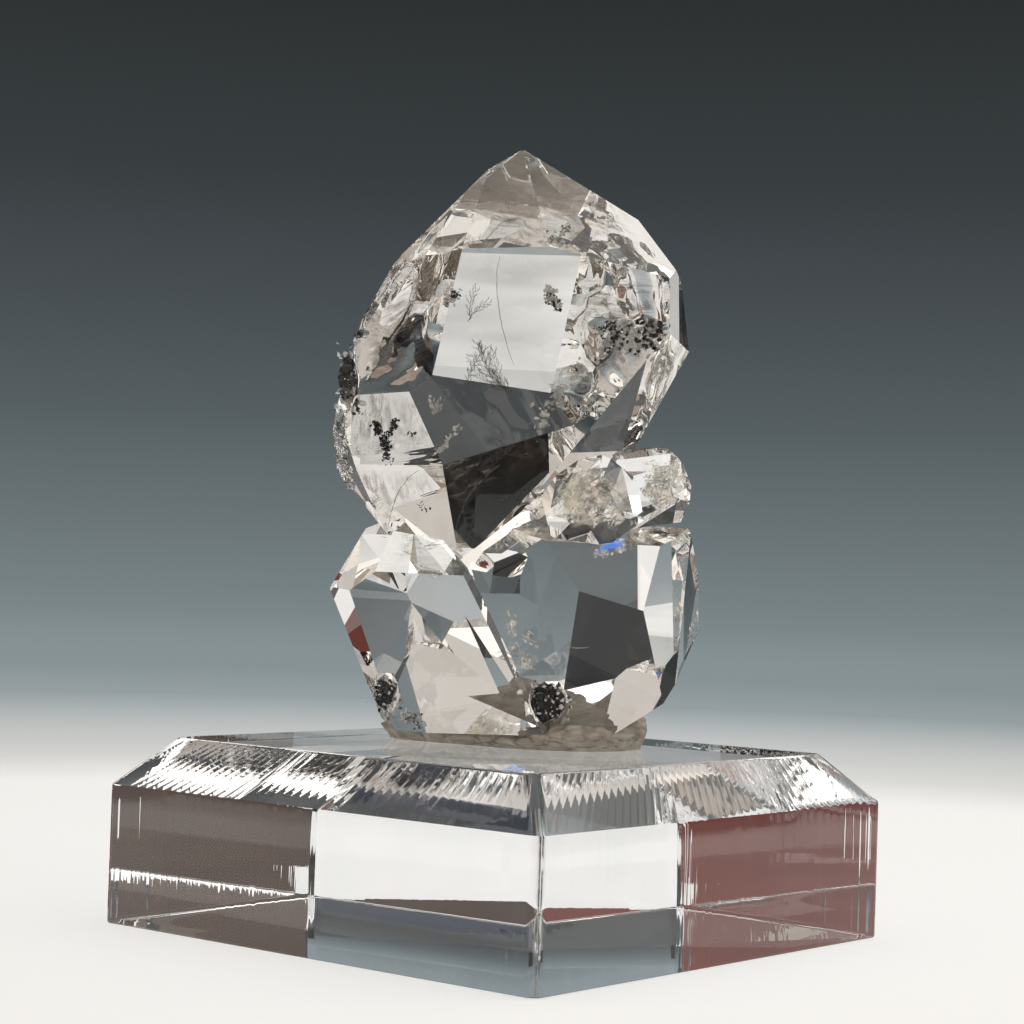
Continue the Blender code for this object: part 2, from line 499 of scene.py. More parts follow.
@dataclass(frozen=True)
class PaleLine:
    """Dull mid-grey mark: dark against a bright face, pale against a dark one."""

    name: str
    colour: tuple[float, float, float]
    strength: float = 0.7

    def build(self, effects: Effects) -> bpy.types.Material:
        """Makes the material.

        Args:
            effects: The shared node groups; not used.

        Returns:
            The finished material.
        """
        made, graph, shader = new_material(self.name)
        place = graph.node("TexCoord").outputs["Object"]
        cloud = graph.noise(place, 1800.0, 2.0, 0.5)
        shade = tuple(channel * 0.7 for channel in self.colour)
        graph.join(graph.ramp(cloud, ((0.35, shade), (0.65, self.colour))), shader.inputs["Base Color"])
        graph.join(graph.spread(cloud, 0.3, 0.6, self.strength * 0.55, self.strength), shader.inputs["Alpha"])
        shader.inputs["Roughness"].default_value = 0.6
        return made


def mesh_object(name: str, points: np.ndarray, faces: np.ndarray, finish: bpy.types.Material,
                smooth: bool = True, spread: np.ndarray | None = None) -> bpy.types.Object:
    """Puts whole arrays into a new object at the origin.

    Args:
        name: The object's name.
        points: Corners in millimetres, one row each.
        faces: Corner numbers, one row for each face of three or four sides.
        finish: The material.
        smooth: Whether the faces are shaded smooth.
        spread: Texture coordinates, one row for each corner.

    Returns:
        The object, linked to the scene.
    """
    mesh = bpy.data.meshes.new(name)
    sides = faces.shape[1]
    mesh.vertices.add(len(points))
    mesh.vertices.foreach_set("co", (np.asarray(points, np.float64) * MM).astype(np.float32).ravel())
    mesh.loops.add(faces.size)
    mesh.loops.foreach_set("vertex_index", faces.astype(np.int32).ravel())
    mesh.polygons.add(len(faces))
    mesh.polygons.foreach_set("loop_start", np.arange(0, faces.size, sides, dtype=np.int32))
    mesh.polygons.foreach_set("use_smooth", np.full(len(faces), smooth))
    if spread is not None:
        layer = mesh.uv_layers.new(name="spread")
        layer.uv.foreach_set("vector", spread[faces.ravel()].astype(np.float32).ravel())
    mesh.update(calc_edges=True)
    mesh.validate()
    mesh.materials.append(finish)
    made = bpy.data.objects.new(name, mesh)
    bpy.context.scene.collection.objects.link(made)
    return made


def carried(piece: bpy.types.Object, stands_for: str | None = None) -> bpy.types.Object:
    """Declares a finished piece to the frame.

    Args:
        piece: The new object.
        stands_for: The CAD node that it replaces, if it replaces one.

    Returns:
        The same object.
    """
    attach(piece, "root")
    if stands_for is not None:
        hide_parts(stands_for)
    LOG.info("%s: %d faces", piece.name, len(piece.data.polygons))
    return piece


def grid_faces(rows: int, columns: int, round_rows: bool = False, round_columns: bool = False) -> np.ndarray:
    """Numbers the four-sided faces of a grid of points.

    Args:
        rows: Points along the first parameter.
        columns: Points along the second parameter.
        round_rows: Whether the last row joins the first.
        round_columns: Whether the last column joins the first.

    Returns:
        Corner numbers, four to a face.
    """
    number = np.arange(rows * columns).reshape(rows, columns)
    if round_rows:
        number = np.vstack([number, number[:1]])
    if round_columns:
        number = np.hstack([number, number[:, :1]])
    return np.stack([number[:-1, :-1], number[:-1, 1:], number[1:, 1:], number[1:, :-1]], -1).reshape(-1, 4)


def drift(seed: int, places: np.ndarray, pitch: float, octaves: int = 4, fade: float = 0.55) -> np.ndarray:
    """Adds up sine waves of random heading for a smooth random field.

    Each octave is the mean of six sines whose wave vectors have random headings and a length of
    one turn per pitch; every octave halves the pitch and fades the strength.

    Args:
        seed: Random seed.
        places: Points, one row each, in any number of dimensions.
        pitch: Length of the longest wave, in the places' units.
        octaves: How many octaves are added.
        fade: Strength of each octave beside the one before.

    Returns:
        One number for each place, about -1 to 1.
    """
    random = np.random.default_rng(seed)
    total = np.zeros(places.shape[:-1])
    strength, size, whole = 1.0, pitch, 0.0
    for _ in range(octaves):
        heading = unit(random.standard_normal((6, places.shape[-1])))
        turn = random.uniform(0, 2 * math.pi, 6)
        length = random.uniform(0.75, 1.3, (6, 1)) * 2 * math.pi / size
        total += strength * np.sin(places @ (heading * length).T + turn).mean(-1) * 1.9
        whole += strength
        strength *= fade
        size *= 0.5
    return total / whole


CHIP_RING = 5


def chips(seed: int, centres: np.ndarray, sizes: np.ndarray, along: np.ndarray,
          stretch: float, flatness: float, rough: float = 0.28) -> tuple[np.ndarray, np.ndarray]:
    """Builds many small angular splinters at once.

    A splinter is an icosahedron-like body: two poles and two rings of five corners turned by half
    a step, drawn out along its own axis, squashed across it, with every corner moved at random.

    Args:
        seed: Random seed.
        centres: Middle of each splinter, millimetres.
        sizes: Half width of each splinter, millimetres.
        along: Mean direction of the long axes.
        stretch: Length beside width.
        flatness: Thickness beside width.
        rough: Share by which the corners stray, and by which the axes turn.

    Returns:
        Corners and three-sided faces, facing out.
    """
    random = np.random.default_rng(seed)
    turn = np.arange(CHIP_RING) * 2 * math.pi / CHIP_RING
    half = turn + math.pi / CHIP_RING
    low = np.stack([np.cos(turn), np.sin(turn), np.full(CHIP_RING, -0.45)], -1)
    high = np.stack([np.cos(half), np.sin(half), np.full(CHIP_RING, 0.45)], -1)
    body = np.vstack([[[0.0, 0.0, -1.0]], low, high, [[0.0, 0.0, 1.0]]])
    ring = np.arange(CHIP_RING)
    after = (ring + 1) % CHIP_RING
    low_fan = np.stack([np.zeros(CHIP_RING, int), 1 + after, 1 + ring], -1)
    belt_up = np.stack([1 + ring, 1 + after, 1 + CHIP_RING + ring], -1)
    belt_down = np.stack([1 + after, 1 + CHIP_RING + after, 1 + CHIP_RING + ring], -1)
    high_fan = np.stack([np.full(CHIP_RING, 1 + 2 * CHIP_RING), 1 + CHIP_RING + ring,
                         1 + CHIP_RING + after], -1)
    shape = np.vstack([low_fan, belt_up, belt_down, high_fan])
    count = len(centres)
    moved = body * (1 + rough * random.uniform(-1, 1, (count, len(body), 3)))
    axis = unit(np.asarray(along, float) + rough * 2.2 * random.standard_normal((count, 3)))
    side = unit(np.cross(axis, random.standard_normal((count, 3))))
    third = np.cross(axis, side)
    wide = moved[..., 0:1] * side[:, None] + moved[..., 1:2] * third[:, None] * flatness
    points = centres[:, None] + sizes[:, None, None] * (wide + moved[..., 2:3] * axis[:, None] * stretch)
    faces = shape + len(body) * np.arange(count)[:, None, None]
    return points.reshape(-1, 3), faces.reshape(-1, 3)


def flakes(seed: int, centres: np.ndarray, sizes: np.ndarray, facing: np.ndarray,
           tilt: float = 0.5, curl: float = 0.25) -> tuple[np.ndarray, np.ndarray, np.ndarray]:
    """Builds many thin curled flakes at once, each a grid of four by four points.

    A flake's rim is rounded off by drawing its corners in, and it is bent along one diagonal.

    Args:
        seed: Random seed.
        centres: Middle of each flake, millimetres.
        sizes: Half width of each flake, millimetres.
        facing: Mean direction that the flakes face.
        tilt: How far their directions stray.
        curl: Height of the bend beside the half width.

    Returns:
        Corners, four-sided faces and texture coordinates from 0 to 1.
    """
    random = np.random.default_rng(seed)
    count = len(centres)
    line = np.linspace(-1, 1, 4)
    u, v = np.meshgrid(line, line, indexing="ij")
    drawn = 1 - 0.30 * (np.abs(u) * np.abs(v))
    flat = np.stack([u * drawn, v * drawn], -1).reshape(1, 16, 2) * (1 + 0.3 * random.uniform(-1, 1, (count, 16, 2)))
    flat = flat * random.uniform(0.45, 1.0, (count, 1, 2))
    normal = unit(np.asarray(facing, float) + tilt * random.standard_normal((count, 3)))
    side = unit(np.cross(normal, random.standard_normal((count, 3))))
    third = np.cross(normal, side)
    rise = curl * random.uniform(-1, 1, (count, 1)) * (flat[..., 0] + flat[..., 1]) ** 2 * 0.5
    points = (flat[..., 0:1] * side[:, None] + flat[..., 1:2] * third[:, None] + rise[..., None] * normal[:, None])
    points = centres[:, None] + sizes[:, None, None] * points
    faces = grid_faces(4, 4) + 16 * np.arange(count)[:, None, None]
    spread = np.broadcast_to(np.stack([u, v], -1).reshape(1, 16, 2) * 0.5 + 0.5, (count, 16, 2))
    return points.reshape(-1, 3), faces.reshape(-1, 4), spread.reshape(-1, 2)


def ribbons(lines: np.ndarray, facing: np.ndarray, width: np.ndarray) -> tuple[np.ndarray, np.ndarray]:
    """Gives lines of points a narrow width.

    Each point becomes a pair, moved to both sides along the cross product of the line's direction
    and the direction that the ribbon faces.

    Args:
        lines: Points in millimetres, shaped lines by points by three.
        facing: The direction that the ribbons face.
        width: Width in millimetres, shaped lines by points or broadcast to that.

    Returns:
        Corners and four-sided faces.
    """
    ahead = unit(np.gradient(lines, axis=1))
    side = unit(np.cross(ahead, facing)) * (np.broadcast_to(width, lines.shape[:2])[..., None] / 2)
    pairs = np.stack([lines - side, lines + side], 2)
    faces = grid_faces(lines.shape[1], 2) + 2 * lines.shape[1] * np.arange(len(lines))[:, None, None]
    return pairs.reshape(-1, 3), faces.reshape(-1, 4)


@dataclass(frozen=True)
class Pane:
    """A flat place on a crystal, and the way in through it along the photograph's lines of sight."""

    point: np.ndarray
    normal: np.ndarray
    ior: float = 1.544

    def points(self, x: np.ndarray, y: np.ndarray, depth: np.ndarray | float) -> np.ndarray:
        """Finds the points seen at pixels, some way in behind the face.

        The line of sight meets the face's plane and is bent there by Snell's law.

        Args:
            x: Pixels from the photograph's left edge.
            y: Pixels from its top edge.
            depth: Millimetres along the bent line of sight.

        Returns:
            Points in millimetres, one for each pixel.
        """
        x, y = np.broadcast_arrays(np.asarray(x, float), np.asarray(y, float))
        across = (x[..., None] - 512) / FOCAL_PIXELS
        above = (512 - y[..., None]) / FOCAL_PIXELS
        ahead = unit(across * RIGHT + above * UP - BACK)
        against = -(ahead @ self.normal)[..., None]
        reach = ((self.point - EYE) @ self.normal) / -against
        bent = ahead / self.ior + (against / self.ior - np.sqrt(1 - (1 - against ** 2) / self.ior ** 2)) * self.normal
        return EYE + ahead * reach + bent * np.asarray(depth, float)[..., None]


class Eyeline:
    """Looks for the cluster's faces along the photograph's lines of sight."""

    def __init__(self) -> None:
        """Reads the cluster's solid."""
        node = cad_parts["crystal_cluster"]
        corners = [node.matrix_world @ corner.co for corner in node.data.vertices]
        self.tree = BVHTree.FromPolygons(corners, [list(face.vertices) for face in node.data.polygons])

    def pane(self, x: float, y: float) -> Pane:
        """Finds the face that the photograph shows at a pixel.

        Args:
            x: Pixels from the photograph's left edge.
            y: Pixels from its top edge.

        Returns:
            The face, as a pane.
        """
        places, normals = self.meet(np.array([[x, y]]))
        if not len(places):
            raise ValueError(f"no crystal face at pixel {x:.0f}, {y:.0f}")
        return Pane(places[0], normals[0])

    def meet(self, pixels: np.ndarray) -> tuple[np.ndarray, np.ndarray]:
        """Finds where lines of sight meet the cluster, leaving out those that miss it.

        Args:
            pixels: Pixels from the photograph's left and top edges, one row each.

        Returns:
            The places met, in millimetres, and the faces' normals.
        """
        places, normals = [], []
        for x, y in pixels:
            ahead = unit(sight(float(x), float(y), 100.0) - EYE)
            place, normal, _, _ = self.tree.ray_cast(Vector(EYE * MM), Vector(ahead))
            if place is not None:
                places.append(np.array(place) / MM)
                normals.append(np.array(normal))
        return np.array(places).reshape(-1, 3), np.array(normals).reshape(-1, 3)


@dataclass
class DisplayBlock:
    """Square acrylic block with a ground bevel, as one closed surface of rings from foot to top."""

    finish: bpy.types.Material
    side: float = 38.1
    height: float = 12.7
    inset: float = 3.1
    drop: float = 3.3
    corner: float = 0.8
    chamfer: float = 0.12
    per_side: int = 480
    ripple_pitch: float = 0.80
    ripple_depth: float = 0.0060
    slant: float = 0.55
    scallop_pitch: float = 0.95
    scallop_rise: float = 0.16
    line_depth: float = 0.0030

    def loop(self) -> tuple[np.ndarray, np.ndarray, np.ndarray, np.ndarray]:
        """Walks once round a rounded square.

        A point of the ring with half width h is (h - corner) * stem + corner * out.

        Returns:
            Stem and out vectors, place along the side from -1 to 1, and the side's number.
        """
        run = np.linspace(-1, 1, self.per_side)
        turn = np.linspace(0, math.pi / 2, 10)[1:-1]
        stem = np.concatenate([np.stack([np.ones_like(run), run], -1), np.ones((len(turn), 2))])
        out = np.concatenate([np.broadcast_to([1.0, 0.0], (len(run), 2)),
                              np.stack([np.cos(turn), np.sin(turn)], -1)])
        along = np.concatenate([run, np.ones(len(turn))])
        quarter = np.array([[0.0, -1.0], [1.0, 0.0]])
        stems, outs = [], []
        for _ in range(4):
            stems.append(stem)
            outs.append(out)
            stem = stem @ quarter.T
            out = out @ quarter.T
        sides = np.repeat(np.arange(4), len(along))
        return np.vstack(stems), np.vstack(outs), np.tile(along, 4), sides

    def stations(self) -> np.ndarray:
        """Returns half width, height and place up the bevel (or -1) of every ring, from the foot up."""
        half = self.side / 2
        foot = self.height - self.drop
        low = [(half - self.chamfer, 0.0, -1.0), (half - 0.03, 0.03, -1.0), (half, self.chamfer, -1.0)]
        wall = [(half, z, -1.0) for z in np.linspace(0.4, foot - 0.14, 7)]
        rise = np.linspace(0.012, 0.985, 34)
        bevel = [(half - self.inset * s, foot + self.drop * s, s) for s in rise]
        top = [(half - self.inset - 0.03, self.height, -1.0)]
        return np.array(low + wall + bevel + top)

    def build(self) -> bpy.types.Object:
        """Makes the block.

        The bevel is pressed in by slanting waves whose phase drifts, fainter on the two far sides;
        its foot is scalloped; the upright sides carry fine random columns.

        Returns:
            The block's object.
        """
        stem, out, along, side = self.loop()
        rings = self.stations()
        half, level, up_bevel = (rings[:, k][:, None] for k in range(3))
        flat = (half[..., None] - self.corner) * stem + self.corner * out
        run = along * (self.side / 2 - self.corner)
        lean = np.array([1.0, -1.0, -1.0, 1.0])[side]
        shift = drift(11, np.stack([np.broadcast_to(run, flat.shape[:2]) + 80.0 * side,
                                    0.6 * np.broadcast_to(up_bevel, flat.shape[:2])], -1), 9.0, 1)
        phase = 2 * math.pi * (run - lean * self.slant * self.inset * 1.4 * up_bevel) / self.ripple_pitch + 1.2 * shift
        wave = (0.5 + 0.5 * np.sin(phase)) ** 4
        window = np.clip(np.minimum(up_bevel, 1 - up_bevel) / 0.05, 0, 1) * (up_bevel > 0)
        window = window * np.clip((1 - np.abs(along)) / 0.02, 0, 1)
        faint = np.array([1.0, 0.1, 0.1, 1.0])[side]
        pressed = self.ripple_depth * faint * wave * window
        scallop = self.scallop_rise * np.abs(np.sin(math.pi * run / self.scallop_pitch)) * (along > 0.45)
        lifted = scallop * np.clip(1 - up_bevel / 0.12, 0, 1) * (up_bevel > 0) * (side == 0)
        upright = (up_bevel < 0) & (level > 0.2) & (level < self.height - self.drop)
        random = np.random.default_rng(5)
        columns = random.standard_normal((2, len(run)))
        blur = np.hanning(9) / np.hanning(9).sum()
        columns = np.stack([np.convolve(np.tile(row, 3), blur, "same")[len(row):2 * len(row)] for row in columns])
        columns = np.clip(columns / columns.std(), 0.2, 2.5)
        mix = level / self.height
        deep = np.array([1.0, 1.4, 1.4, 1.0])[side]
        lines = self.line_depth * deep * (columns[0] * (1 - mix) + columns[1] * mix) * upright
        flat = flat - out * (pressed * 0.73 + lines)[..., None]
        rise = np.broadcast_to(level, flat.shape[:2]) - pressed * 0.68 + lifted
        rows, columns_count = flat.shape[:2]
        points = np.concatenate([flat, rise[..., None]], -1).reshape(-1, 3)
        faces = grid_faces(rows, columns_count, round_columns=True)
        block = mesh_object("acrylic_block", points, faces[:, ::-1], self.finish)
        self.close_ends(block, rows, columns_count)
        block.data.set_sharp_from_angle(angle=math.radians(24))
        return carried(block, "display_block")

    def close_ends(self, block: bpy.types.Object, rows: int, columns: int) -> None:
        """Closes the flat foot and the polished top with one face each.

        Args:
            block: The open surface.
            rows: How many rings it has.
            columns: How many points a ring has.
        """
        shape = bmesh.new()
        shape.from_mesh(block.data)
        shape.verts.ensure_lookup_table()
        foot = [shape.verts[k] for k in range(columns)]
        crown = [shape.verts[(rows - 1) * columns + k] for k in range(columns)]
        for loop in (foot, crown):
            shape.faces.new(loop).smooth = False
        bmesh.ops.recalc_face_normals(shape, faces=shape.faces)
        shape.to_mesh(block.data)
        shape.free()


@dataclass
class MountingPutty:
    """Lump of putty pressed up against the undersides of the crystals."""

    finish: bpy.types.Material
    centre: tuple[float, float] = (-0.5, 4.2)
    foot: float = 12.72
    reach: tuple[float, ...] = (8.6, 8.0, 8.0, 8.0, 8.4, 9.2, 10.6, 11.2, 8.6, 6.8, 7.3, 8.4)
    lift: tuple[float, ...] = (2.2, 2.8, 3.4, 3.6, 3.4, 3.0, 2.4, 2.0, 1.6, 1.5, 1.5, 1.8)
    crown: float = 5.0
    wetting: float = 0.07
    around: int = 360
    inward: int = 90

    def round_values(self, values: tuple[float, ...], turn: np.ndarray) -> np.ndarray:
        """Interpolates values given every 30 degrees with a smooth closed curve.

        The curve is the sum of the values' own Fourier waves.

        Args:
            values: Twelve values.
            turn: Angles in radians.

        Returns:
            The value at each angle.
        """
        waves = np.fft.rfft(values) / len(values)
        order = np.arange(len(waves))
        weight = np.where((order == 0) | (order == len(waves) - 1), 1.0, 2.0)
        return (weight * (waves * np.exp(1j * order * turn[..., None])).real).sum(-1)

    def underside(self, flat: np.ndarray) -> np.ndarray:
        """Finds how high the crystals' underside hangs above points of the block.

        Every triangle that faces down is met by every upright line, as one array.

        Args:
            flat: Places on the block, millimetres.

        Returns:
            The lowest height met, or a large number where nothing hangs above.
        """
        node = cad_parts["crystal_cluster"]
        node.data.calc_loop_triangles()
        corner = np.empty(len(node.data.vertices) * 3, np.float32)
        node.data.vertices.foreach_get("co", corner)
        number = np.empty(len(node.data.loop_triangles) * 3, np.int32)
        node.data.loop_triangles.foreach_get("vertices", number)
        place = np.array(node.matrix_world)
        world = (corner.reshape(-1, 3) @ place[:3, :3].T + place[:3, 3]) / MM
        one, two, three = (world[number.reshape(-1, 3)[:, k]] for k in range(3))
        normal = np.cross(two - one, three - one)
        low = (normal[:, 2] < -1e-6) & (one[:, 2] < 24)
        one, two, three, normal = one[low], two[low], three[low], normal[low]
        inside = np.ones((len(flat), len(one)), bool)
        for start, end in ((one, two), (two, three), (three, one)):
            edge = (end - start)[None, :, :2]
            gap = flat[:, None] - start[None, :, :2]
            inside &= edge[..., 0] * gap[..., 1] - edge[..., 1] * gap[..., 0] <= 1e-9
        level = one[:, 2] - ((flat[:, None] - one[None, :, :2]) * normal[None, :, :2]).sum(-1) / normal[:, 2]
        return np.where(inside, level, 99.0).min(1)

    def build(self) -> bpy.types.Object:
        """Makes the lump.

        Its profile bulges at the foot, rises to the rim and swells to the crown; folds and creases
        are drifting fields pressed in along the way out; it stops just inside the crystals.

        Returns:
            The putty's object.
        """
        turn = np.linspace(0, 2 * math.pi, self.around, endpoint=False)
        step = np.linspace(0, 1, self.inward)[:, None]
        reach = self.round_values(self.reach, turn)
        lift = self.round_values(self.lift, turn)
        ripple = drift(21, np.stack([np.cos(turn), np.sin(turn)], -1) * 6.0, 3.2, 4)
        reach = reach * (1 + 0.035 * ripple)
        wall = np.clip(step / 0.30, 0, 1)
        bulge = 0.94 + 0.06 * np.sin(wall * math.pi * 0.62) / math.sin(math.pi * 0.5)
        past = np.clip((step - 0.30) / 0.70, 0, 1)
        distance = reach * bulge * (1 - past ** 1.1)
        rim = lift * (0.50 + 0.10 * ripple)
        rise = rim * np.sin(wall * math.pi / 2) ** 0.8
        rise = rise + (lift - rim) * np.sin(np.clip(past / 0.35, 0, 1) * math.pi / 2)
        rise = rise + (self.crown - lift) * np.clip(past - 0.35, 0, 1) / 0.65
        place = np.stack([distance * np.cos(turn), distance * np.sin(turn), rise], -1)
        fold = drift(22, place, 3.4, 4, 0.6)
        crease = 1 - np.abs(drift(23, place * [1.0, 1.0, 2.2], 2.6, 3, 0.6)) * 2.4
        moved = 0.16 * fold - 0.22 * np.clip(crease, 0, 1) ** 3
        fade = np.clip(rise / 0.5, 0, 1)
        distance = distance + moved * fade * np.clip(1 - past, 0.2, 1)
        rise = rise + 0.5 * moved * fade
        x = self.centre[0] + distance * np.cos(turn)
        y = self.centre[1] + distance * np.sin(turn)
        z = self.foot + np.clip(rise, 0, None)
        hang = self.underside(np.stack([x.ravel(), y.ravel()], -1)).reshape(z.shape)
        z = np.minimum(z, hang + self.wetting)
        points = np.stack([x, y, z], -1).reshape(-1, 3)
        faces = grid_faces(self.inward, self.around, round_columns=True)
        lump = mesh_object("pressed_putty", points, faces[:, ::-1], self.finish)
        shape = bmesh.new()
        shape.from_mesh(lump.data)
        shape.verts.ensure_lookup_table()
        shape.faces.new([shape.verts[k] for k in range(self.around)])
        bmesh.ops.remove_doubles(shape, verts=shape.verts, dist=1e-3 * MM)
        bmesh.ops.recalc_face_normals(shape, faces=shape.faces)
        shape.to_mesh(lump.data)
        shape.free()
        return carried(lump, "mounting_putty")


@dataclass(frozen=True)
class FacetRelief:
    """Growth relief of the cluster's faces that look along one direction."""

    heading: float
    rise: float
    depth: float
    pitch: float = 2.2

    def normal(self) -> np.ndarray:
        """Returns the direction that the faces look along."""
        level = math.cos(math.radians(self.rise))
        return np.array([level * math.cos(math.radians(self.heading)),
                         level * math.sin(math.radians(self.heading)), math.sin(math.radians(self.rise))])


@dataclass
class CrystalCluster:
    """The grown-together crystals, with growth relief on the faces that are uneven."""

    finish: bpy.types.Material
    uneven: tuple[FacetRelief, ...]
    cuts: int = 18
    reach_degrees: float = 4.0
    fade: float = 2.0

    def build(self) -> bpy.types.Object:
        """Copies the solid, divides the uneven faces finely and presses a drifting field into them.

        The field fades out at each face's rim, so that edges stay straight.

        Returns:
            The cluster's object.
        """
        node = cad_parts["crystal_cluster"]
        mesh = node.data.copy()
        mesh.transform(node.matrix_world)
        shape = bmesh.new()
        shape.from_mesh(mesh)
        bmesh.ops.remove_doubles(shape, verts=shape.verts, dist=1e-3 * MM)
        bmesh.ops.dissolve_limit(shape, angle_limit=math.radians(0.4), verts=shape.verts, edges=shape.edges)
        for edge in shape.edges:
            edge.smooth = False
        for number, relief in enumerate(self.uneven):
            self.press(shape, relief, number)
        for face in shape.faces:
            face.smooth = True
        bmesh.ops.triangulate(shape, faces=shape.faces)
        shape.to_mesh(mesh)
        shape.free()
        mesh.materials.clear()
        mesh.materials.append(self.finish)
        cluster = bpy.data.objects.new("clear_cluster", mesh)
        bpy.context.scene.collection.objects.link(cluster)
        return carried(cluster, "crystal_cluster")

    def press(self, shape: bmesh.types.BMesh, relief: FacetRelief, number: int) -> None:
        """Divides the faces of one direction and moves their inner points inwards.

        Args:
            shape: The cluster.
            relief: Direction, depth and pitch of the relief.
            number: The relief's number, used as its seed.
        """
        normal = relief.normal()
        near = math.cos(math.radians(self.reach_degrees))
        chosen = [face for face in shape.faces if np.dot(np.array(face.normal), normal) > near
                  and face.calc_area() > 2 * MM * MM]
        if not chosen:
            LOG.warning("no face looks along %s", relief)
            return
        flat = bmesh.ops.triangulate(shape, faces=chosen)["faces"]
        outline = {edge for face in flat for edge in face.edges if not edge.smooth}
        rim = np.array([[*edge.verts[0].co, *edge.verts[1].co] for edge in outline])
        edges = list({edge for face in flat for edge in face.edges})
        made = bmesh.ops.subdivide_edges(shape, edges=edges, cuts=self.cuts, use_grid_fill=True)
        inner = [item for item in made["geom_inner"] if isinstance(item, bmesh.types.BMVert)]
        inner = [vert for vert in inner if all(edge.smooth for edge in vert.link_edges)]
        places = np.array([vert.co for vert in inner])
        start, run = rim[:, :3], rim[:, 3:] - rim[:, :3]
        share = ((places[:, None] - start) * run).sum(-1) / (run ** 2).sum(-1)
        away = np.linalg.norm(places[:, None] - start - np.clip(share, 0, 1)[..., None] * run, axis=-1).min(1)
        fade = np.clip(away / (self.fade * MM), 0, 1) ** 1.5
        swell = drift(40 + number, places / MM, relief.pitch, 3, 0.38)
        moved = places - normal * (relief.depth * MM * (0.5 + 0.5 * swell) * fade)[:, None]
        for vert, place in zip(inner, moved):
            vert.co = place


class Look(Enum):
    """What an inclusion is made of."""

    BLACK = "black"
    SILVER = "silver"
    MIXED = "mixed"


@dataclass(frozen=True)
class Pocket:
    """A ragged inclusion, placed by the pixel where the photograph shows it."""

    name: str
    look: Look
    path: tuple[tuple[float, float], ...]
    spread: float
    depth: float = 0.5
    thick: float = 0.5
    count: int = 60
    size: float = 0.16
    seed: int = 1

    def scattered(self, pane: Pane, count: int, seed: int, widen: float = 1.0) -> np.ndarray:
        """Scatters points along the pocket's path.

        Args:
            pane: The face that the pocket lies behind.
            count: How many points.
            seed: Random seed.
            widen: Share by which the scatter is wider.

        Returns:
            Points in millimetres.
        """
        random = np.random.default_rng(seed)
        line = np.array(self.path, float)
        place = random.uniform(0, len(line) - 1, count)
        first = np.minimum(place.astype(int), len(line) - 2)
        middle = line[first] + (line[first + 1] - line[first]) * (place - first)[:, None]
        away = random.standard_normal((count, 2)) * 0.5 * self.spread * widen
        depth = self.depth + self.thick * random.uniform(0, 1, count) ** 1.5
        return pane.points(middle[:, 0] + away[:, 0], middle[:, 1] + away[:, 1], depth)


@dataclass
class Inclusions:
    """Ragged carbon, silvery hollows and the flakes round them."""

    eyeline: Eyeline
    black: bpy.types.Material
    silver: bpy.types.Material
    pockets: tuple[Pocket, ...]

    def build(self) -> None:
        """Builds every pocket."""
        for pocket in self.pockets:
            self.build_pocket(pocket)

    def build_pocket(self, pocket: Pocket) -> None:
        """Builds one pocket: splinters where it is black, flakes where it is silvery.

        Args:
            pocket: Its place and size.
        """
        middle = np.mean(pocket.path, axis=0)
        pane = self.eyeline.pane(float(middle[0]), float(middle[1]))
        random = np.random.default_rng(pocket.seed)
        if pocket.look is not Look.SILVER:
            count = pocket.count if pocket.look is Look.BLACK else pocket.count // 2
            centres = pocket.scattered(pane, count, pocket.seed)
            sizes = pocket.size * random.uniform(0.35, 1.0, len(centres))
            points, faces = chips(pocket.seed, centres, sizes, -pane.normal, 1.1, 0.6, 0.42)
            self.shown_once(mesh_object(pocket.name + "_black", points, faces, self.black, smooth=False))
        if pocket.look is not Look.BLACK:
            centres = pocket.scattered(pane, pocket.count, pocket.seed + 50, 1.25)
            sizes = pocket.size * random.uniform(0.7, 2.2, len(centres))
            points, faces, spread = flakes(pocket.seed, centres, sizes, pane.normal, 0.7, 0.5)
            self.shown_once(mesh_object(pocket.name + "_silver", points, faces, self.silver, spread=spread))

    def shown_once(self, piece: bpy.types.Object) -> None:
        """Args:
            piece: The inclusion.
        """
        piece.visible_glossy = False
        carried(piece)


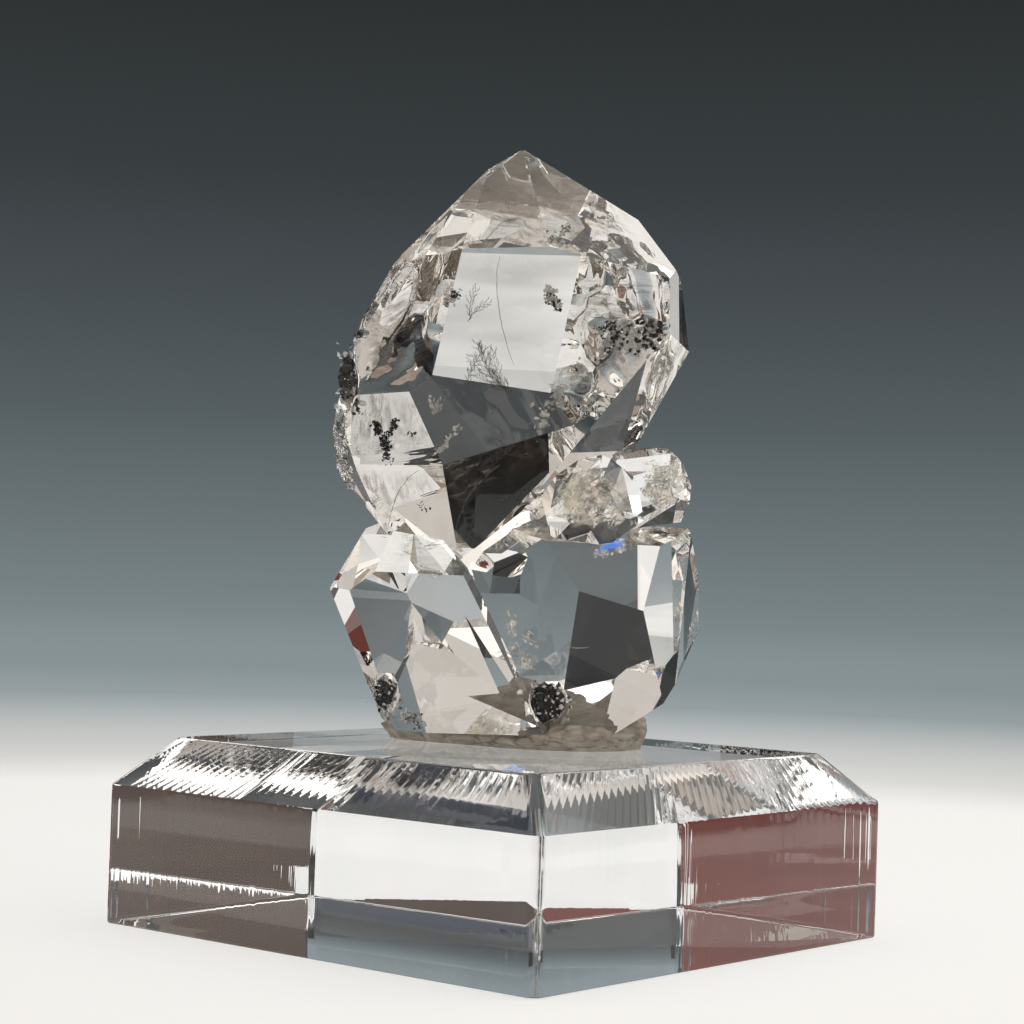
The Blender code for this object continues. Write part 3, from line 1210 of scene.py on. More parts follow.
@dataclass
class Fern:
    """A fern-like etch figure: a curved stem whose side shoots branch once more."""

    name: str
    start: tuple[float, float]
    heading: float
    length: float
    bend: float
    shoots: int
    reach: float
    side: float
    depth: float = 0.10
    width: float = 0.045
    seed: int = 1

    def curve(self, start: np.ndarray, heading: np.ndarray, length: np.ndarray, bend: np.ndarray,
              samples: int = 9) -> np.ndarray:
        """Lays out arcs whose heading turns steadily, with a slight tremble.

        Args:
            start: Start pixels, one row for each arc.
            heading: Headings at the start, radians.
            length: Lengths in pixels.
            bend: Whole turn of each arc, radians.
            samples: Points for each arc.

        Returns:
            Pixels, shaped arcs by samples by two.
        """
        random = np.random.default_rng(self.seed)
        share = np.linspace(0, 1, samples)
        angle = heading[:, None] + bend[:, None] * share + 0.18 * random.standard_normal((len(heading), samples))
        step = length[:, None, None] / (samples - 1) * np.stack([np.cos(angle), np.sin(angle)], -1)
        path = np.cumsum(step, axis=1)
        return start[:, None] + path - path[:, :1]

    def pixels(self) -> list[np.ndarray]:
        """Returns the stem, the shoots and the twigs as arrays of pixel lines."""
        random = np.random.default_rng(self.seed + 9)
        stem = self.curve(np.array([self.start]), np.array([math.radians(self.heading)]),
                          np.array([self.length]), np.array([math.radians(self.bend)]), 24)
        order = np.linspace(2, 22, self.shoots).astype(int)
        hand = np.where(np.arange(self.shoots) % 2 == 0, 1.0, -1.0) if self.side == 0 else np.full(self.shoots, self.side)
        ahead = np.gradient(stem[0], axis=0)
        angle = np.arctan2(ahead[order, 1], ahead[order, 0]) + hand * random.uniform(0.55, 0.95, self.shoots)
        size = self.reach * (0.45 + 0.55 * np.sin(np.linspace(0.3, 2.9, self.shoots))) * random.uniform(0.7, 1.2, self.shoots)
        shoots = self.curve(stem[0][order], angle, size, -hand * 0.5)
        knots = shoots[:, 2:8].reshape(-1, 2)
        along = np.repeat(angle, 6) - np.repeat(hand, 6) * 0.2
        twist = np.tile([1.0, -1.0], len(knots) // 2)
        twigs = self.curve(knots, along + twist * random.uniform(0.5, 0.9, len(knots)),
                           np.repeat(size, 6) * 0.30 * random.uniform(0.5, 1.1, len(knots)), -twist * 0.3, 5)
        return [stem, shoots, twigs]

    def build(self, eyeline: Eyeline, finish: bpy.types.Material) -> None:
        """Builds the figure just under the face that it marks.

        Args:
            eyeline: Finds the face.
            finish: The figure's material.
        """
        pane = eyeline.pane(*self.start)
        points, faces, total = [], [], 0
        for lines, thin in zip(self.pixels(), (1.0, 0.8, 0.6)):
            taper = np.linspace(1.0, 0.45, lines.shape[1]) * self.width * thin
            placed = pane.points(lines[..., 0], lines[..., 1], self.depth)
            corners, quads = ribbons(placed, pane.normal, taper)
            points.append(corners)
            faces.append(quads + total)
            total += len(corners)
        carried(mesh_object(self.name, np.vstack(points), np.vstack(faces), finish))


@dataclass(frozen=True)
class Hairline:
    """A fine healed crack or scratch, drawn through pixels of the photograph."""

    name: str
    path: tuple[tuple[float, float], ...]
    width: float = 0.05
    depth: float = 0.12
    depth_end: float = 0.12
    tremble: float = 0.35
    seed: int = 1

    def build(self, eyeline: Eyeline, finish: bpy.types.Material) -> None:
        """Draws the line as a narrow ribbon on a smooth curve through its pixels.

        Args:
            eyeline: Finds the face that it lies behind.
            finish: The line's material.
        """
        given = np.array(self.path, float)
        share = np.linspace(0, 1, 60)
        knots = np.linspace(0, 1, len(given))
        order = min(3, len(given) - 1)
        smooth = np.stack([np.polyval(np.polyfit(knots, given[:, k], order), share) for k in range(2)], -1)
        wander = drift(self.seed, share[:, None] * [1.0], 0.35, 4, 0.6)
        smooth = smooth + self.tremble * wander[:, None] * [1.0, 0.4]
        pane = eyeline.pane(*self.path[len(self.path) // 2])
        depth = np.linspace(self.depth, self.depth_end, len(share))
        placed = pane.points(smooth[:, 0], smooth[:, 1], depth)[None]
        taper = self.width * (0.35 + 0.65 * np.sin(np.linspace(0.15, 3.0, len(share))))
        points, faces = ribbons(placed, pane.normal, taper)
        carried(mesh_object(self.name, points, faces, finish))


@dataclass(frozen=True)
class CarbonLump:
    """Black carbon that fills a pit, as a heap of splinters ringed by bright flakes."""

    name: str
    stands_for: str
    centre: tuple[float, float, float]
    half: tuple[float, float, float]
    count: int = 170
    size: float = 0.24
    seed: int = 1

    def build(self, black: bpy.types.Material, silver: bpy.types.Material) -> None:
        """Builds the heap and its ring of flakes.

        The splinters' middles fill an ellipsoid evenly; the flakes' middles lie on its skin.

        Args:
            black: The carbon's finish.
            silver: The flakes' finish.
        """
        random = np.random.default_rng(self.seed)
        heading = unit(random.standard_normal((self.count, 3)))
        reach = random.uniform(0, 1, (self.count, 1)) ** (1 / 3) * 0.82
        centres = np.array(self.centre) + heading * reach * np.array(self.half)
        sizes = self.size * random.uniform(0.5, 1.35, self.count)
        points, faces = chips(self.seed, centres, sizes, np.array([0.3, -0.4, 0.8]), 1.2, 0.65, 0.4)
        heap = mesh_object(self.name, points, faces, black, smooth=False)
        heap.visible_glossy = False
        carried(heap, self.stands_for)
        rim = unit(random.standard_normal((self.count // 2, 3)))
        centres = np.array(self.centre) + rim * np.array(self.half) * 0.98
        sizes = self.size * random.uniform(0.4, 1.0, len(rim))
        points, faces, spread = flakes(self.seed + 3, centres, sizes, rim, 0.5, 0.5)
        carried(mesh_object(self.name + "_glints", points, faces, silver, spread=spread))


@dataclass(frozen=True)
class Veil:
    """A wavy sheet inside a crystal, spanned between four pixels of the photograph: a healed fracture, or a painted
    flare of light.
    """

    name: str
    corners: tuple[tuple[float, float], ...]
    near: float
    far: float
    wave: float = 0.25
    pitch: float = 2.0
    rows: int = 48
    seed: int = 1

    def build(self, eyeline: Eyeline, finish: bpy.types.Material) -> None:
        """Builds the sheet: pixels blended between its corners, depth from near to far plus a drift.

        Args:
            eyeline: Finds the face that the veil lies behind.
            finish: The veil's material.
        """
        line = np.linspace(0, 1, self.rows)
        u, v = np.meshgrid(line, line, indexing="ij")
        one, two, three, four = (np.array(corner, float) for corner in self.corners)
        pixel = ((1 - u)[..., None] * ((1 - v)[..., None] * one + v[..., None] * four)
                 + u[..., None] * ((1 - v)[..., None] * two + v[..., None] * three))
        middle = pixel[self.rows // 2, self.rows // 2]
        pane = eyeline.pane(float(middle[0]), float(middle[1]))
        bend = drift(self.seed, np.stack([u, v], -1) * 6.0, self.pitch, 4, 0.55)
        depth = self.near + (self.far - self.near) * v + self.wave * bend
        placed = pane.points(pixel[..., 0], pixel[..., 1], np.clip(depth, 0.08, None))
        spread = np.stack([u, v], -1).reshape(-1, 2)
        faces = grid_faces(self.rows, self.rows)
        carried(mesh_object(self.name, placed.reshape(-1, 3), faces, finish, spread=spread))


@dataclass(frozen=True)
class FlakeCloud:
    """A crystal's crowded inner fractures: many curled silvery flakes inside an outline of pixels."""

    name: str
    outline: tuple[tuple[float, float], ...]
    count: int
    size: float
    near: float
    far: float
    seed: int = 1

    def build(self, eyeline: Eyeline, finish: bpy.types.Material) -> None:
        """Scatters the flakes: mixes of the outline's corners, drawn at random.

        Args:
            eyeline: Finds the face that they lie behind.
            finish: The flakes' material.
        """
        random = np.random.default_rng(self.seed)
        corner = np.array(self.outline, float)
        share = random.dirichlet(np.full(len(corner), 0.75), self.count)
        pixel = share @ corner
        middle = corner.mean(0)
        pane = eyeline.pane(float(middle[0]), float(middle[1]))
        depth = random.uniform(self.near, self.far, self.count)
        centres = pane.points(pixel[:, 0], pixel[:, 1], depth)
        sizes = self.size * random.uniform(0.4, 1.6, self.count)
        points, faces, spread = flakes(self.seed, centres, sizes, pane.normal, 0.8, 0.6)
        carried(mesh_object(self.name, points, faces, finish, spread=spread))


@dataclass(frozen=True)
class RimGrowth:
    """Small clear growths and splinters along a ragged edge of the large crystal."""

    name: str
    path: tuple[tuple[float, float], ...]
    count: int = 120
    spread: float = 4.0
    size: float = 0.30
    sunk: float = 0.15
    seed: int = 1

    def build(self, eyeline: Eyeline, finish: bpy.types.Material) -> None:
        """Builds the growths where the lines of sight along the path meet the crystals.

        Args:
            eyeline: Finds the faces.
            finish: The growths' material.
        """
        random = np.random.default_rng(self.seed)
        line = np.array(self.path, float)
        place = random.uniform(0, len(line) - 1, self.count)
        first = np.minimum(place.astype(int), len(line) - 2)
        pixel = line[first] + (line[first + 1] - line[first]) * (place - first)[:, None]
        pixel = pixel + random.standard_normal((self.count, 2)) * self.spread * 0.5
        places, normals = eyeline.meet(pixel)
        centres = places - normals * (self.sunk * random.uniform(0.2, 1.6, len(places)))[:, None]
        sizes = self.size * random.uniform(0.35, 1.2, len(places))
        points, faces = chips(self.seed, centres, sizes, normals, 1.5, 0.8, 0.35)
        carried(mesh_object(self.name, points, faces, finish, smooth=False))


@dataclass(frozen=True)
class StudioPaper:
    """Seamless paper: nearly white underfoot, falling off to slate up the wall and towards the eye."""

    name: str = "studio_paper"
    reach: float = 0.40
    wall: float = 0.33

    def build(self) -> bpy.types.Material:
        """Returns the paper, which glows a little so that its grey is even all round."""
        made, graph, shader = new_material(self.name)
        place = graph.node("TexCoord").outputs["Object"]
        parts = graph.node("SeparateXYZ")
        graph.join(place, parts.inputs[0])
        level = graph.node("CombineXYZ")
        graph.join(parts.outputs["X"], level.inputs["X"])
        graph.join(parts.outputs["Y"], level.inputs["Y"])
        flat = graph.node("VectorMath", operation="LENGTH")
        graph.join(level.outputs[0], flat.inputs[0])
        distance = flat.outputs["Value"]
        ground = graph.ramp(graph.spread(distance, 0.0, self.reach), (
            (0.00, (0.60, 0.60, 0.59)),
            (0.28, (0.57, 0.57, 0.56)),
            (0.36, (0.36, 0.375, 0.375)),
            (0.44, (0.27, 0.295, 0.30)),
            (0.58, (0.285, 0.320, 0.33)),
            (0.74, (0.300, 0.345, 0.36)),
            (1.00, (0.245, 0.290, 0.305)),
        ))
        wall = graph.ramp(graph.spread(parts.outputs["Z"], 0.0, self.wall), (
            (0.00, (0.245, 0.290, 0.305)),
            (0.05, (0.187, 0.226, 0.238)),
            (0.10, (0.150, 0.182, 0.192)),
            (0.19, (0.093, 0.113, 0.120)),
            (0.28, (0.064, 0.076, 0.083)),
            (0.38, (0.040, 0.048, 0.051)),
            (0.52, (0.027, 0.031, 0.032)),
            (0.66, (0.060, 0.068, 0.072)),
            (1.00, (0.070, 0.078, 0.080)),
        ))
        mixed = graph.node("Mix", data_type="RGBA")
        graph.join(graph.spread(parts.outputs["Z"], 0.0, 0.012), mixed.inputs["Factor"])
        graph.join(ground, mixed.inputs["A"])
        graph.join(wall, mixed.inputs["B"])
        toward = graph.node("VectorMath", operation="DOT_PRODUCT")
        graph.join(level.outputs[0], toward.inputs[0])
        toward.inputs[1].default_value = (float(BACK[0]), float(BACK[1]), 0.0)
        behind = graph.math("MULTIPLY", graph.spread(toward.outputs["Value"], 0.24, 0.36), 0.86)
        far = graph.spread(distance, 0.20, 0.27)
        kept = graph.math("SUBTRACT", 1.0, graph.math("MULTIPLY", behind, far))
        dimmed = graph.node("VectorMath", operation="SCALE")
        graph.join(mixed.outputs["Result"], dimmed.inputs[0])
        graph.join(kept, dimmed.inputs["Scale"])
        graph.join(dimmed.outputs[0], shader.inputs["Emission Color"])
        shade = graph.node("Mix", data_type="RGBA")
        graph.join(graph.spread(distance, 0.18, 0.29), shade.inputs["Factor"])
        shade.inputs["A"].default_value = (0.50, 0.50, 0.50, 1.0)
        shade.inputs["B"].default_value = (0.0, 0.0, 0.0, 1.0)
        graph.join(shade.outputs["Result"], shader.inputs["Base Color"])
        shader.inputs["Roughness"].default_value = 0.9
        shader.inputs["Specular IOR Level"].default_value = 0.0
        shader.inputs["Emission Strength"].default_value = 1.0
        made.cycles.emission_sampling = "NONE"
        return made


@dataclass(frozen=True)
class CardPaper:
    """Warm brown card that glows evenly."""

    name: str
    glow: tuple[float, float, float]

    def build(self) -> bpy.types.Material:
        """Returns the card's material, mottled a little so that its reflection isn't flat."""
        made, graph, shader = new_material(self.name)
        place = graph.node("TexCoord").outputs["Object"]
        mottle = graph.noise(place, 14.0, 3.0, 0.6)
        dim = tuple(channel * 0.55 for channel in self.glow)
        graph.join(graph.ramp(mottle, ((0.35, dim), (0.65, self.glow))), shader.inputs["Emission Color"])
        shader.inputs["Emission Strength"].default_value = 1.0
        shader.inputs["Base Color"].default_value = (0.0, 0.0, 0.0, 1.0)
        shader.inputs["Specular IOR Level"].default_value = 0.0
        made.cycles.emission_sampling = "NONE"
        return made


@dataclass(frozen=True)
class Lamp:
    """Soft square lamp that looks at the middle of the object.

    Heading and rise are degrees as seen from the object, distance and sizes are millimetres, glow
    is the brightness of its face beside white.
    """

    name: str
    heading: float
    rise: float
    wide: float
    deep: float
    glow: float
    colour: tuple[float, float, float] = (1.0, 1.0, 1.0)
    distance: float = 420.0


@dataclass(frozen=True)
class Card:
    """Flat card, seen only in the object's reflections and refractions.

    Corner is one corner in millimetres; across and up are its two sides.
    """

    name: str
    corner: tuple[float, float, float]
    across: tuple[float, float, float]
    up: tuple[float, float, float]
    glow: tuple[float, float, float]


@dataclass
class Studio:
    """Floor that curves up into a round wall, soft lamps, small cards and the photograph's viewpoint."""

    radius: float = 450.0
    bend: float = 60.0
    height: float = 330.0
    sink: float = 0.05
    lamps: tuple[Lamp, ...] = (
        Lamp("back_right", 24.0, 32.0, 330.0, 250.0, 1.15, (1.0, 0.97, 0.93)),
        Lamp("right", 74.0, 31.0, 330.0, 250.0, 1.10, (1.0, 0.96, 0.91)),
        Lamp("overhead", 130.0, 80.0, 300.0, 300.0, 0.60, (1.0, 0.95, 0.88)),
        Lamp("warm_front_right", -8.0, 24.0, 300.0, 260.0, 0.30, (1.0, 0.72, 0.56)),
        Lamp("warm_front_left", -112.0, 28.0, 420.0, 260.0, 0.30, (1.0, 0.80, 0.64)),
    )
    cards: tuple[Card, ...] = (
        Card("card_behind", (-8.0, 31.0, 0.0), (26.0, 0.0, 0.0), (0.0, 0.0, 13.0), (0.140, 0.098, 0.080)),
        Card("card_left", (-27.0, -20.0, 0.0), (0.0, 28.0, 0.0), (0.0, 0.0, 13.0), (0.215, 0.062, 0.050)),
        Card("card_floor_behind", (-17.0, 19.2, 0.1), (24.0, 0.0, 0.0), (12.9, 12.0, 0.0), (0.140, 0.098, 0.080)),
        Card("card_floor_left", (-19.2, -9.0, 0.1), (0.0, 26.0, 0.0), (-8.0, -12.0, 0.0), (0.215, 0.062, 0.050)),
        Card("card_slate", (-60.0, 76.0, 0.2), (34.0, 0.0, 0.0), (-4.0, 27.0, 0.0), (0.115, 0.140, 0.152)),
        Card("card_charcoal", (-104.0, 176.0, 16.0), (60.0, 20.0, 0.0), (0.0, 0.0, 32.0), (0.014, 0.015, 0.016)),
        Card("card_charcoal_left", (-152.0, 132.0, 16.0), (-24.0, -40.0, 0.0), (0.0, 0.0, 32.0), (0.014, 0.015, 0.016)),
        Card("card_navy", (-265.0, 284.0, 170.0), (-92.0, -131.0, 0.0), (0.0, 0.0, 240.0), (0.020, 0.030, 0.055)),
        Card("card_white", (-175.0, 95.0, 0.2), (140.0, 80.0, 0.0), (-45.0, 75.0, 0.0), (0.95, 0.94, 0.91)),
    )

    def profile(self) -> np.ndarray:
        """Returns distance and height down the middle of the paper: floor, quarter bend, wall."""
        floor = np.stack([np.linspace(0.0, self.radius - self.bend, 24), np.zeros(24)], -1)
        turn = np.linspace(0.0, math.pi / 2, 20)[1:]
        curve = np.stack([self.radius - self.bend + self.bend * np.sin(turn),
                          self.bend * (1 - np.cos(turn))], -1)
        rise = np.linspace(self.bend, self.height, 16)[1:]
        wall = np.stack([np.full(15, self.radius), rise], -1)
        return np.vstack([floor, curve, wall])

    def paper(self) -> None:
        """Turns the profile about the middle."""
        line = self.profile()
        angle = np.linspace(0.0, 2 * math.pi, 128, endpoint=False)
        level = np.broadcast_to(line[:, None, 1] - self.sink, (len(line), len(angle)))
        points = np.stack([line[:, None, 0] * np.cos(angle), line[:, None, 0] * np.sin(angle), level], -1)
        faces = grid_faces(len(line), len(angle), round_columns=True)[:, ::-1]
        mesh_object("studio_paper", points.reshape(-1, 3), faces, StudioPaper().build())

    def card(self, card: Card) -> None:
        """Puts up one card.

        Args:
            card: Its place, size and glow.
        """
        corner, across, up = np.array(card.corner), np.array(card.across), np.array(card.up)
        points = np.array([corner, corner + across, corner + across + up, corner + up])
        made = mesh_object(card.name, points, np.array([[0, 1, 2, 3]]), CardPaper(card.name, card.glow).build())
        made.visible_camera = False
        made.visible_diffuse = False
        made.visible_shadow = False

    def lamp(self, lamp: Lamp) -> None:
        """Hangs up one lamp, hidden from the viewpoint.

        Args:
            lamp: Its place, size and glow.
        """
        light = bpy.data.lights.new(lamp.name, "AREA")
        light.shape = "RECTANGLE"
        light.size = lamp.wide * MM
        light.size_y = lamp.deep * MM
        light.energy = lamp.glow * math.pi * light.size * light.size_y
        light.color = lamp.colour
        made = bpy.data.objects.new(lamp.name, light)
        bpy.context.scene.collection.objects.link(made)
        turn, rise = math.radians(lamp.heading), math.radians(lamp.rise)
        toward = np.array([math.cos(rise) * math.cos(turn), math.cos(rise) * math.sin(turn), math.sin(rise)])
        across = unit(np.cross([0.0, 0.0, 1.0], toward))
        place = np.eye(4)
        place[:3, :3] = np.stack([across, np.cross(toward, across), toward], -1)
        place[:3, 3] = (np.array([0.0, 0.0, 36.0]) + toward * lamp.distance) * MM
        made.matrix_world = Matrix(place.tolist())
        made.visible_camera = False

    def camera(self) -> None:
        """Sets the photograph's viewpoint."""
        lens = bpy.data.cameras.new("viewpoint")
        lens.lens = LENS
        lens.sensor_width = SENSOR
        lens.clip_start = 0.005
        lens.clip_end = 10.0
        made = bpy.data.objects.new("viewpoint", lens)
        bpy.context.scene.collection.objects.link(made)
        place = np.eye(4)
        place[:3, :3] = np.stack([RIGHT, UP, BACK], -1)
        place[:3, 3] = EYE * MM
        made.matrix_world = Matrix(place.tolist())
        bpy.context.scene.camera = made

    def sky(self) -> None:
        """Gives the room above the paper a soft even grey."""
        world = bpy.data.worlds.new("room")
        world.use_nodes = True
        world.node_tree.nodes["Background"].inputs["Color"].default_value = (1.0, 0.93, 0.85, 1.0)
        world.node_tree.nodes["Background"].inputs["Strength"].default_value = 0.60
        bpy.context.scene.world = world

    def build(self) -> None:
        """Sets up the whole studio."""
        self.paper()
        for card in self.cards:
            self.card(card)
        for lamp in self.lamps:
            self.lamp(lamp)
        self.camera()
        self.sky()
        settings = bpy.context.scene
        settings.view_settings.view_transform = "Standard"
        settings.view_settings.look = "None"
        settings.cycles.max_bounces = 22
        settings.cycles.transmission_bounces = 22
        settings.cycles.diffuse_bounces = 2
        settings.cycles.glossy_bounces = 12
        settings.cycles.transparent_max_bounces = 24


def build_finishes(effects: Effects) -> dict[str, bpy.types.Material]:
    """Builds every finish once.

    Args:
        effects: The shared node groups.

    Returns:
        The materials by short name.
    """
    films = {
        "silver": Film("silvery_film", (0.95, 0.93, 0.88), 0.45, 0.22, (3.0, 3.0), 0.28, 0.44, 0.95, 0.06 * MM),
        # The glinting film is a mirror with a painted glow (0.10) that brightens the flakes inside the quartz.
        "glint": Film("glinting_film_painted_glow", (0.99, 0.95, 0.86), 0.9, 0.05, (1.6, 1.6), 0.44, 0.50, 0.85, 0.02 * MM,
                      0.06, 0.45, 0.10),
        # Painted dispersion flare: a saturated blue film that glows (0.5), standing in for light split by the crystal.
        "blue": Film("painted_dispersion_flare", (0.06, 0.30, 1.0), 0.0, 0.25, (3.0, 3.0), 0.20, 0.40, 0.9, 0.02 * MM, 0.15, 0.7,
                     0.5),
        "feather": Film("feathery_film", (0.52, 0.47, 0.43), 0.35, 0.30, (2.2, 15.0), 0.47, 0.62, 0.60),
        "smoky": Film("smoky_film", (0.30, 0.20, 0.16), 0.10, 0.45, (3.0, 9.0), 0.42, 0.66, 0.55),
        "bright": Film("bright_film", (0.90, 0.91, 0.92), 0.90, 0.06, (3.0, 9.0), 0.50, 0.60, 0.80, 0.05 * MM),
    }
    made = {short: film.build(effects) for short, film in films.items()}
    made["quartz"] = ClearCrystal().build(effects)
    made["acrylic"] = ClearAcrylic().build(effects)
    made["putty"] = MineralPutty().build(effects)
    made["carbon"] = BlackCarbon().build(effects)
    made["mark"] = PaleLine("etch_mark", (0.20, 0.17, 0.15), 0.85).build(effects)
    made["crack"] = PaleLine("crack_line", (0.34, 0.32, 0.30), 0.75).build(effects)
    made["rust"] = PaleLine("rust_fleck", (0.25, 0.10, 0.04), 0.9).build(effects)
    made["white"] = PaleLine("white_scratch", (0.92, 0.92, 0.90), 0.95).build(effects)
    return made


UNEVEN = (
    FacetRelief(-177, 28, 0.20, 4.4),
    FacetRelief(84, 16.5, 0.20, 4.6),
    FacetRelief(-140.5, 14.5, 0.12, 3.6),
    FacetRelief(-141.5, 28.5, 0.10, 3.6),
    FacetRelief(-139.5, 39.5, 0.10, 3.6),
    FacetRelief(-167.5, 40, 0.16, 3.6),
    FacetRelief(52.5, 52, 0.18, 3.8),
    FacetRelief(41.5, 31.5, 0.14, 3.8),
)

POCKETS = (
    Pocket("left_fork_stem", Look.BLACK, ((388, 462), (386, 450), (384, 441)), 5, 0.12, 0.22, 80, 0.15, 3),
    Pocket("left_fork_one", Look.BLACK, ((385, 441), (378, 432), (376, 424)), 4, 0.12, 0.20, 60, 0.13, 4),
    Pocket("left_fork_two", Look.BLACK, ((386, 442), (391, 431), (396, 420)), 4, 0.12, 0.20, 70, 0.13, 5),
    Pocket("right_clump", Look.MIXED, ((604, 352), (615, 340), (630, 335), (642, 342), (652, 330)), 12, 0.4, 0.9,
           210, 0.20, 6),
    Pocket("right_clump_tail", Look.BLACK, ((600, 330), (612, 326), (618, 338)), 6, 0.4, 0.5, 60, 0.16, 7),
    Pocket("middle_lump", Look.MIXED, ((548, 290), (552, 299), (560, 308)), 5, 0.4, 0.4, 70, 0.15, 8),
    Pocket("gold_speck", Look.MIXED, ((452, 300), (455, 294)), 5, 0.5, 0.4, 30, 0.13, 9),
    Pocket("upper_speck", Look.MIXED, ((553, 243), (560, 236), (569, 228)), 5, 0.4, 0.4, 50, 0.13, 10),
    Pocket("middle_silver", Look.SILVER, ((570, 380), (575, 372), (581, 368)), 7, 0.4, 0.4, 26, 0.16, 11),
    Pocket("left_silver", Look.SILVER, ((430, 410), (435, 404), (440, 399)), 6, 0.4, 0.4, 24, 0.15, 12),
    Pocket("rod", Look.SILVER, ((438, 452), (448, 440), (460, 427)), 3, 0.4, 0.3, 46, 0.12, 13),
    Pocket("middle_trail", Look.SILVER, ((537, 428), (548, 412), (556, 398), (563, 388)), 9, 0.5, 0.6, 70, 0.15, 14),
    Pocket("bright_streak", Look.SILVER, ((584, 410), (590, 400), (597, 391)), 4, 0.4, 0.3, 36, 0.13, 15),
    Pocket("low_left_specks", Look.MIXED, ((377, 682), (384, 692), (391, 708)), 9, 0.3, 0.6, 130, 0.15, 16),
    Pocket("low_left_specks_two", Look.MIXED, ((404, 714), (412, 719), (419, 724)), 6, 0.25, 0.4, 60, 0.13, 17),
    Pocket("front_pit_ring", Look.MIXED, ((528, 700), (548, 682), (568, 700), (550, 722), (529, 706)), 7, 0.2, 0.7,
           150, 0.17, 18),
    Pocket("small_specks_one", Look.BLACK, ((405, 433), (416, 435)), 3, 0.3, 0.2, 14, 0.10, 19),
    Pocket("small_specks_two", Look.BLACK, ((418, 505), (430, 511)), 3, 0.3, 0.2, 14, 0.10, 20),
    Pocket("small_specks_three", Look.BLACK, ((500, 497), (520, 497)), 3, 0.3, 0.2, 12, 0.09, 21),
    Pocket("left_rim_flecks", Look.MIXED, ((352, 350), (347, 372), (350, 398), (357, 405)), 7, 0.15, 0.5, 120, 0.17, 22),
)

FERNS = (
    Fern("fern_top", (468, 322), -60, 32, 40, 10, 10, 0, 0.10, 0.050, 3),
    Fern("fern_middle", (512, 391), -158, 62, 62, 22, 14, 1, 0.10, 0.055, 4),
    Fern("fern_middle_two", (508, 393), -128, 48, 40, 16, 11, 0, 0.10, 0.050, 5),
    Fern("fern_middle_three", (470, 388), -95, 44, 50, 13, 10, 0, 0.10, 0.050, 8),
    Fern("fern_middle_four", (511, 391), -150, 56, 24, 18, 15, 0, 0.10, 0.045, 14),
    Fern("fern_middle_five", (509, 392), -140, 60, 30, 18, 14, 0, 0.10, 0.045, 15),
    Fern("fern_middle_six", (506, 392), -170, 46, 50, 15, 12, 0, 0.10, 0.045, 16),
    Fern("fern_top_two", (470, 320), -88, 34, 20, 12, 9, 0, 0.10, 0.045, 17),
    Fern("fern_low", (476, 474), -62, 60, 80, 18, 13, -1, 0.10, 0.050, 6),
    Fern("fern_low_two", (490, 472), -50, 42, -40, 13, 10, 0, 0.10, 0.045, 7),
)

HAIRLINES = (
    Hairline("crack_upper", ((500, 256), (497, 290), (503, 330), (514, 365)), 0.06, 0.2, 0.3, 0.8, 3),
    Hairline("crack_short", ((510, 395), (494, 412), (480, 430)), 0.05, 0.2, 0.2, 0.6, 4),
    Hairline("crack_low", ((500, 465), (480, 482), (464, 505), (455, 537)), 0.06, 0.2, 0.3, 0.8, 5),
    Hairline("crack_left", ((420, 470), (405, 482), (394, 503), (388, 530)), 0.06, 0.2, 0.3, 0.8, 6),
    Hairline("fibre", ((624, 436), (634, 429), (646, 424)), 0.04, 0.05, 0.05, 0.5, 8),
)

VEILS = (
    ("feather", Veil("veil_left_high", ((372, 300), (436, 252), (452, 300), (388, 352)), 0.8, 1.6, 0.35, 2.0, 40, 3)),
    ("feather", Veil("veil_left_low", ((362, 344), (430, 300), (440, 352), (368, 392)), 0.8, 1.4, 0.30, 2.0, 40, 4)),
    ("smoky", Veil("veil_left_smoke", ((366, 300), (444, 255), (436, 378), (362, 386)), 1.6, 2.2, 0.30, 2.4, 40, 5)),
    ("feather", Veil("veil_right_high", ((574, 268), (662, 276), (658, 330), (584, 332)), 0.9, 2.0, 0.40, 2.0, 40, 6)),
    ("smoky", Veil("veil_right_smoke", ((572, 300), (664, 292), (640, 388), (578, 384)), 1.8, 2.8, 0.40, 2.4, 40, 7)),
    ("feather", Veil("veil_top", ((500, 176), (556, 190), (560, 240), (480, 238)), 0.7, 1.6, 0.35, 2.0, 40, 8)),
    ("smoky", Veil("veil_top_right", ((560, 184), (634, 226), (648, 262), (566, 248)), 0.8, 1.8, 0.35, 2.2, 40, 9)),
    ("bright", Veil("veil_contact", ((402, 560), (470, 548), (462, 524), (398, 532)), 0.3, 0.9, 0.30, 1.6, 40, 10)),
    ("bright", Veil("veil_contact_low", ((384, 566), (452, 586), (470, 560), (400, 540)), 0.3, 1.1, 0.30, 1.6, 40, 11)),
    # Painted blue flare of split light, laid as a glowing sheet rather than a fracture.
    ("blue", Veil("painted_flare_blue_veil", ((596, 551), (622, 546), (628, 536), (606, 540)), 0.15, 0.25, 0.05, 1.6, 24, 12)),
)

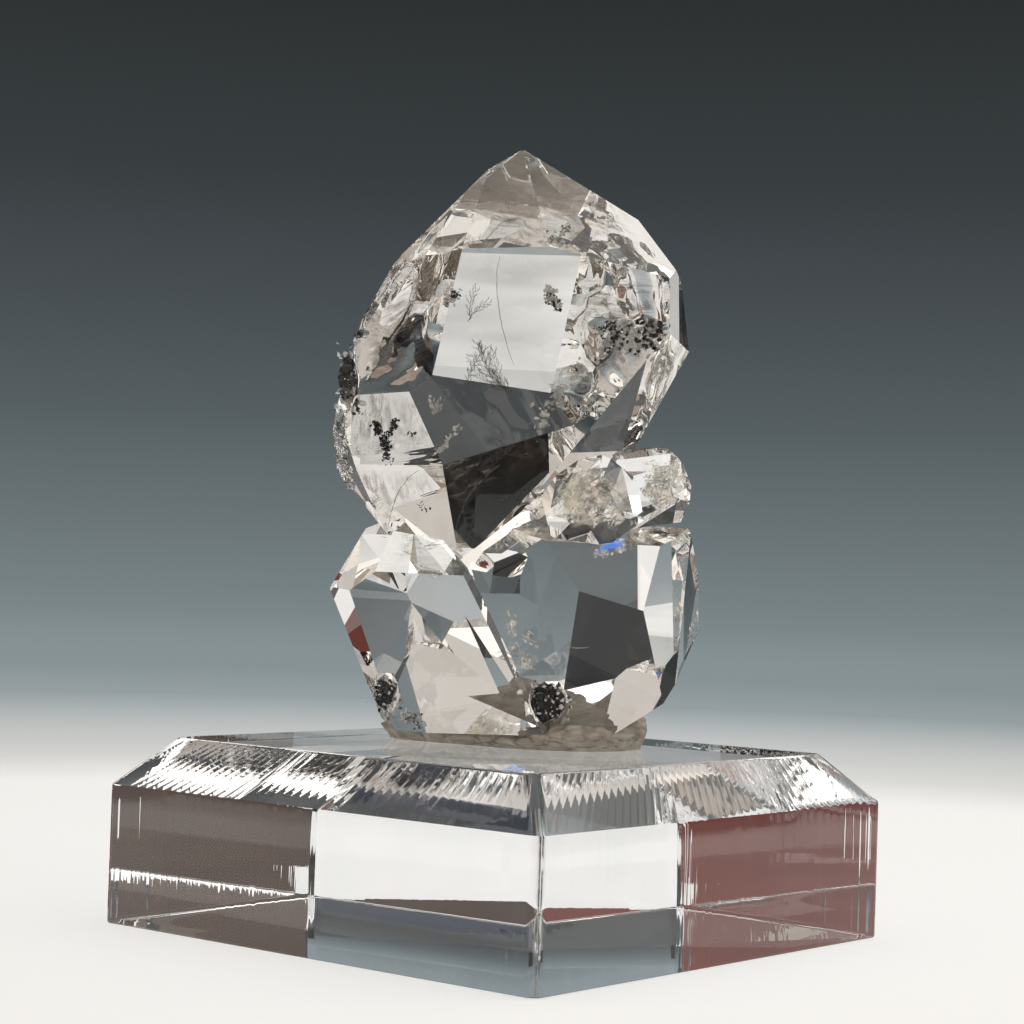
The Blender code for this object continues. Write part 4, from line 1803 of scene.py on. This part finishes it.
FLAKE_CLOUDS = (
    FlakeCloud("front_small_flakes", ((548, 492), (570, 465), (590, 462), (632, 482), (634, 516), (604, 536), (560, 526)),
               70, 0.95, 0.3, 2.6, 3),
    FlakeCloud("right_small_flakes", ((632, 456), (664, 453), (680, 468), (680, 500), (672, 514), (644, 512)),
               40, 0.75, 0.3, 1.7, 4),
    FlakeCloud("wedge_flakes", ((476, 552), (528, 508), (546, 530), (500, 554)), 60, 0.32, 0.3, 1.6, 5),
    FlakeCloud("low_right_contact", ((592, 548), (650, 530), (640, 546), (596, 560)), 46, 0.28, 0.2, 1.0, 6),
    FlakeCloud("low_right_heart", ((504, 610), (540, 640), (540, 690), (516, 676)), 30, 0.50, 0.8, 2.4, 7),
)

GROWTHS = (
    RimGrowth("growth_left_rim", ((340, 410), (337, 430), (338, 455), (346, 480), (352, 502)), 150, 7.0, 0.26, 0.12, 3),
    RimGrowth("growth_left_pit", ((346, 352), (354, 338), (362, 332)), 40, 4.0, 0.20, 0.12, 4),
)

CARBON = (
    CarbonLump("front_carbon", "carbon_front", (3.9, 0.0, 15.9), (1.3, 1.3, 1.35), 230, 0.26, 3),
    CarbonLump("left_rim_carbon", "carbon_left_rim", (-7.6, -8.7, 37.6), (0.55, 0.55, 1.8), 120, 0.24, 4),
    CarbonLump("low_left_carbon", "carbon_low_left", (-3.2, -8.6, 16.3), (0.7, 0.8, 1.2), 140, 0.18, 5),
)


def main() -> None:
    """Builds the studio and every piece in order."""
    logging.basicConfig(level=logging.INFO, format="%(message)s")
    Studio().build()
    finish = build_finishes(Effects())
    eyeline = Eyeline()
    DisplayBlock(finish["acrylic"]).build()
    MountingPutty(finish["putty"]).build()
    CrystalCluster(finish["quartz"], UNEVEN).build()
    for lump in CARBON:
        lump.build(finish["carbon"], finish["silver"])
    Inclusions(eyeline, finish["carbon"], finish["silver"], POCKETS).build()
    for fern in FERNS:
        fern.build(eyeline, finish["mark"])
    for line in HAIRLINES:
        line.build(eyeline, finish["crack"])
    Hairline("scratch_low_right", ((563, 646), (576, 648), (589, 647)), 0.07, 0.04, 0.04, 0.4, 7).build(
        eyeline, finish["white"])
    Hairline("rust", ((532, 492), (535, 496), (536, 499)), 0.25, 0.2, 0.2, 0.6, 9).build(eyeline, finish["rust"])
    for short, veil in VEILS:
        veil.build(eyeline, finish[short])
    # The flake clouds shine partly by the glinting film's painted glow.
    for cloud in FLAKE_CLOUDS:
        cloud.build(eyeline, finish["glint"])
    for growth in GROWTHS:
        growth.build(eyeline, finish["quartz"])


if __name__ == "__main__":
    main()
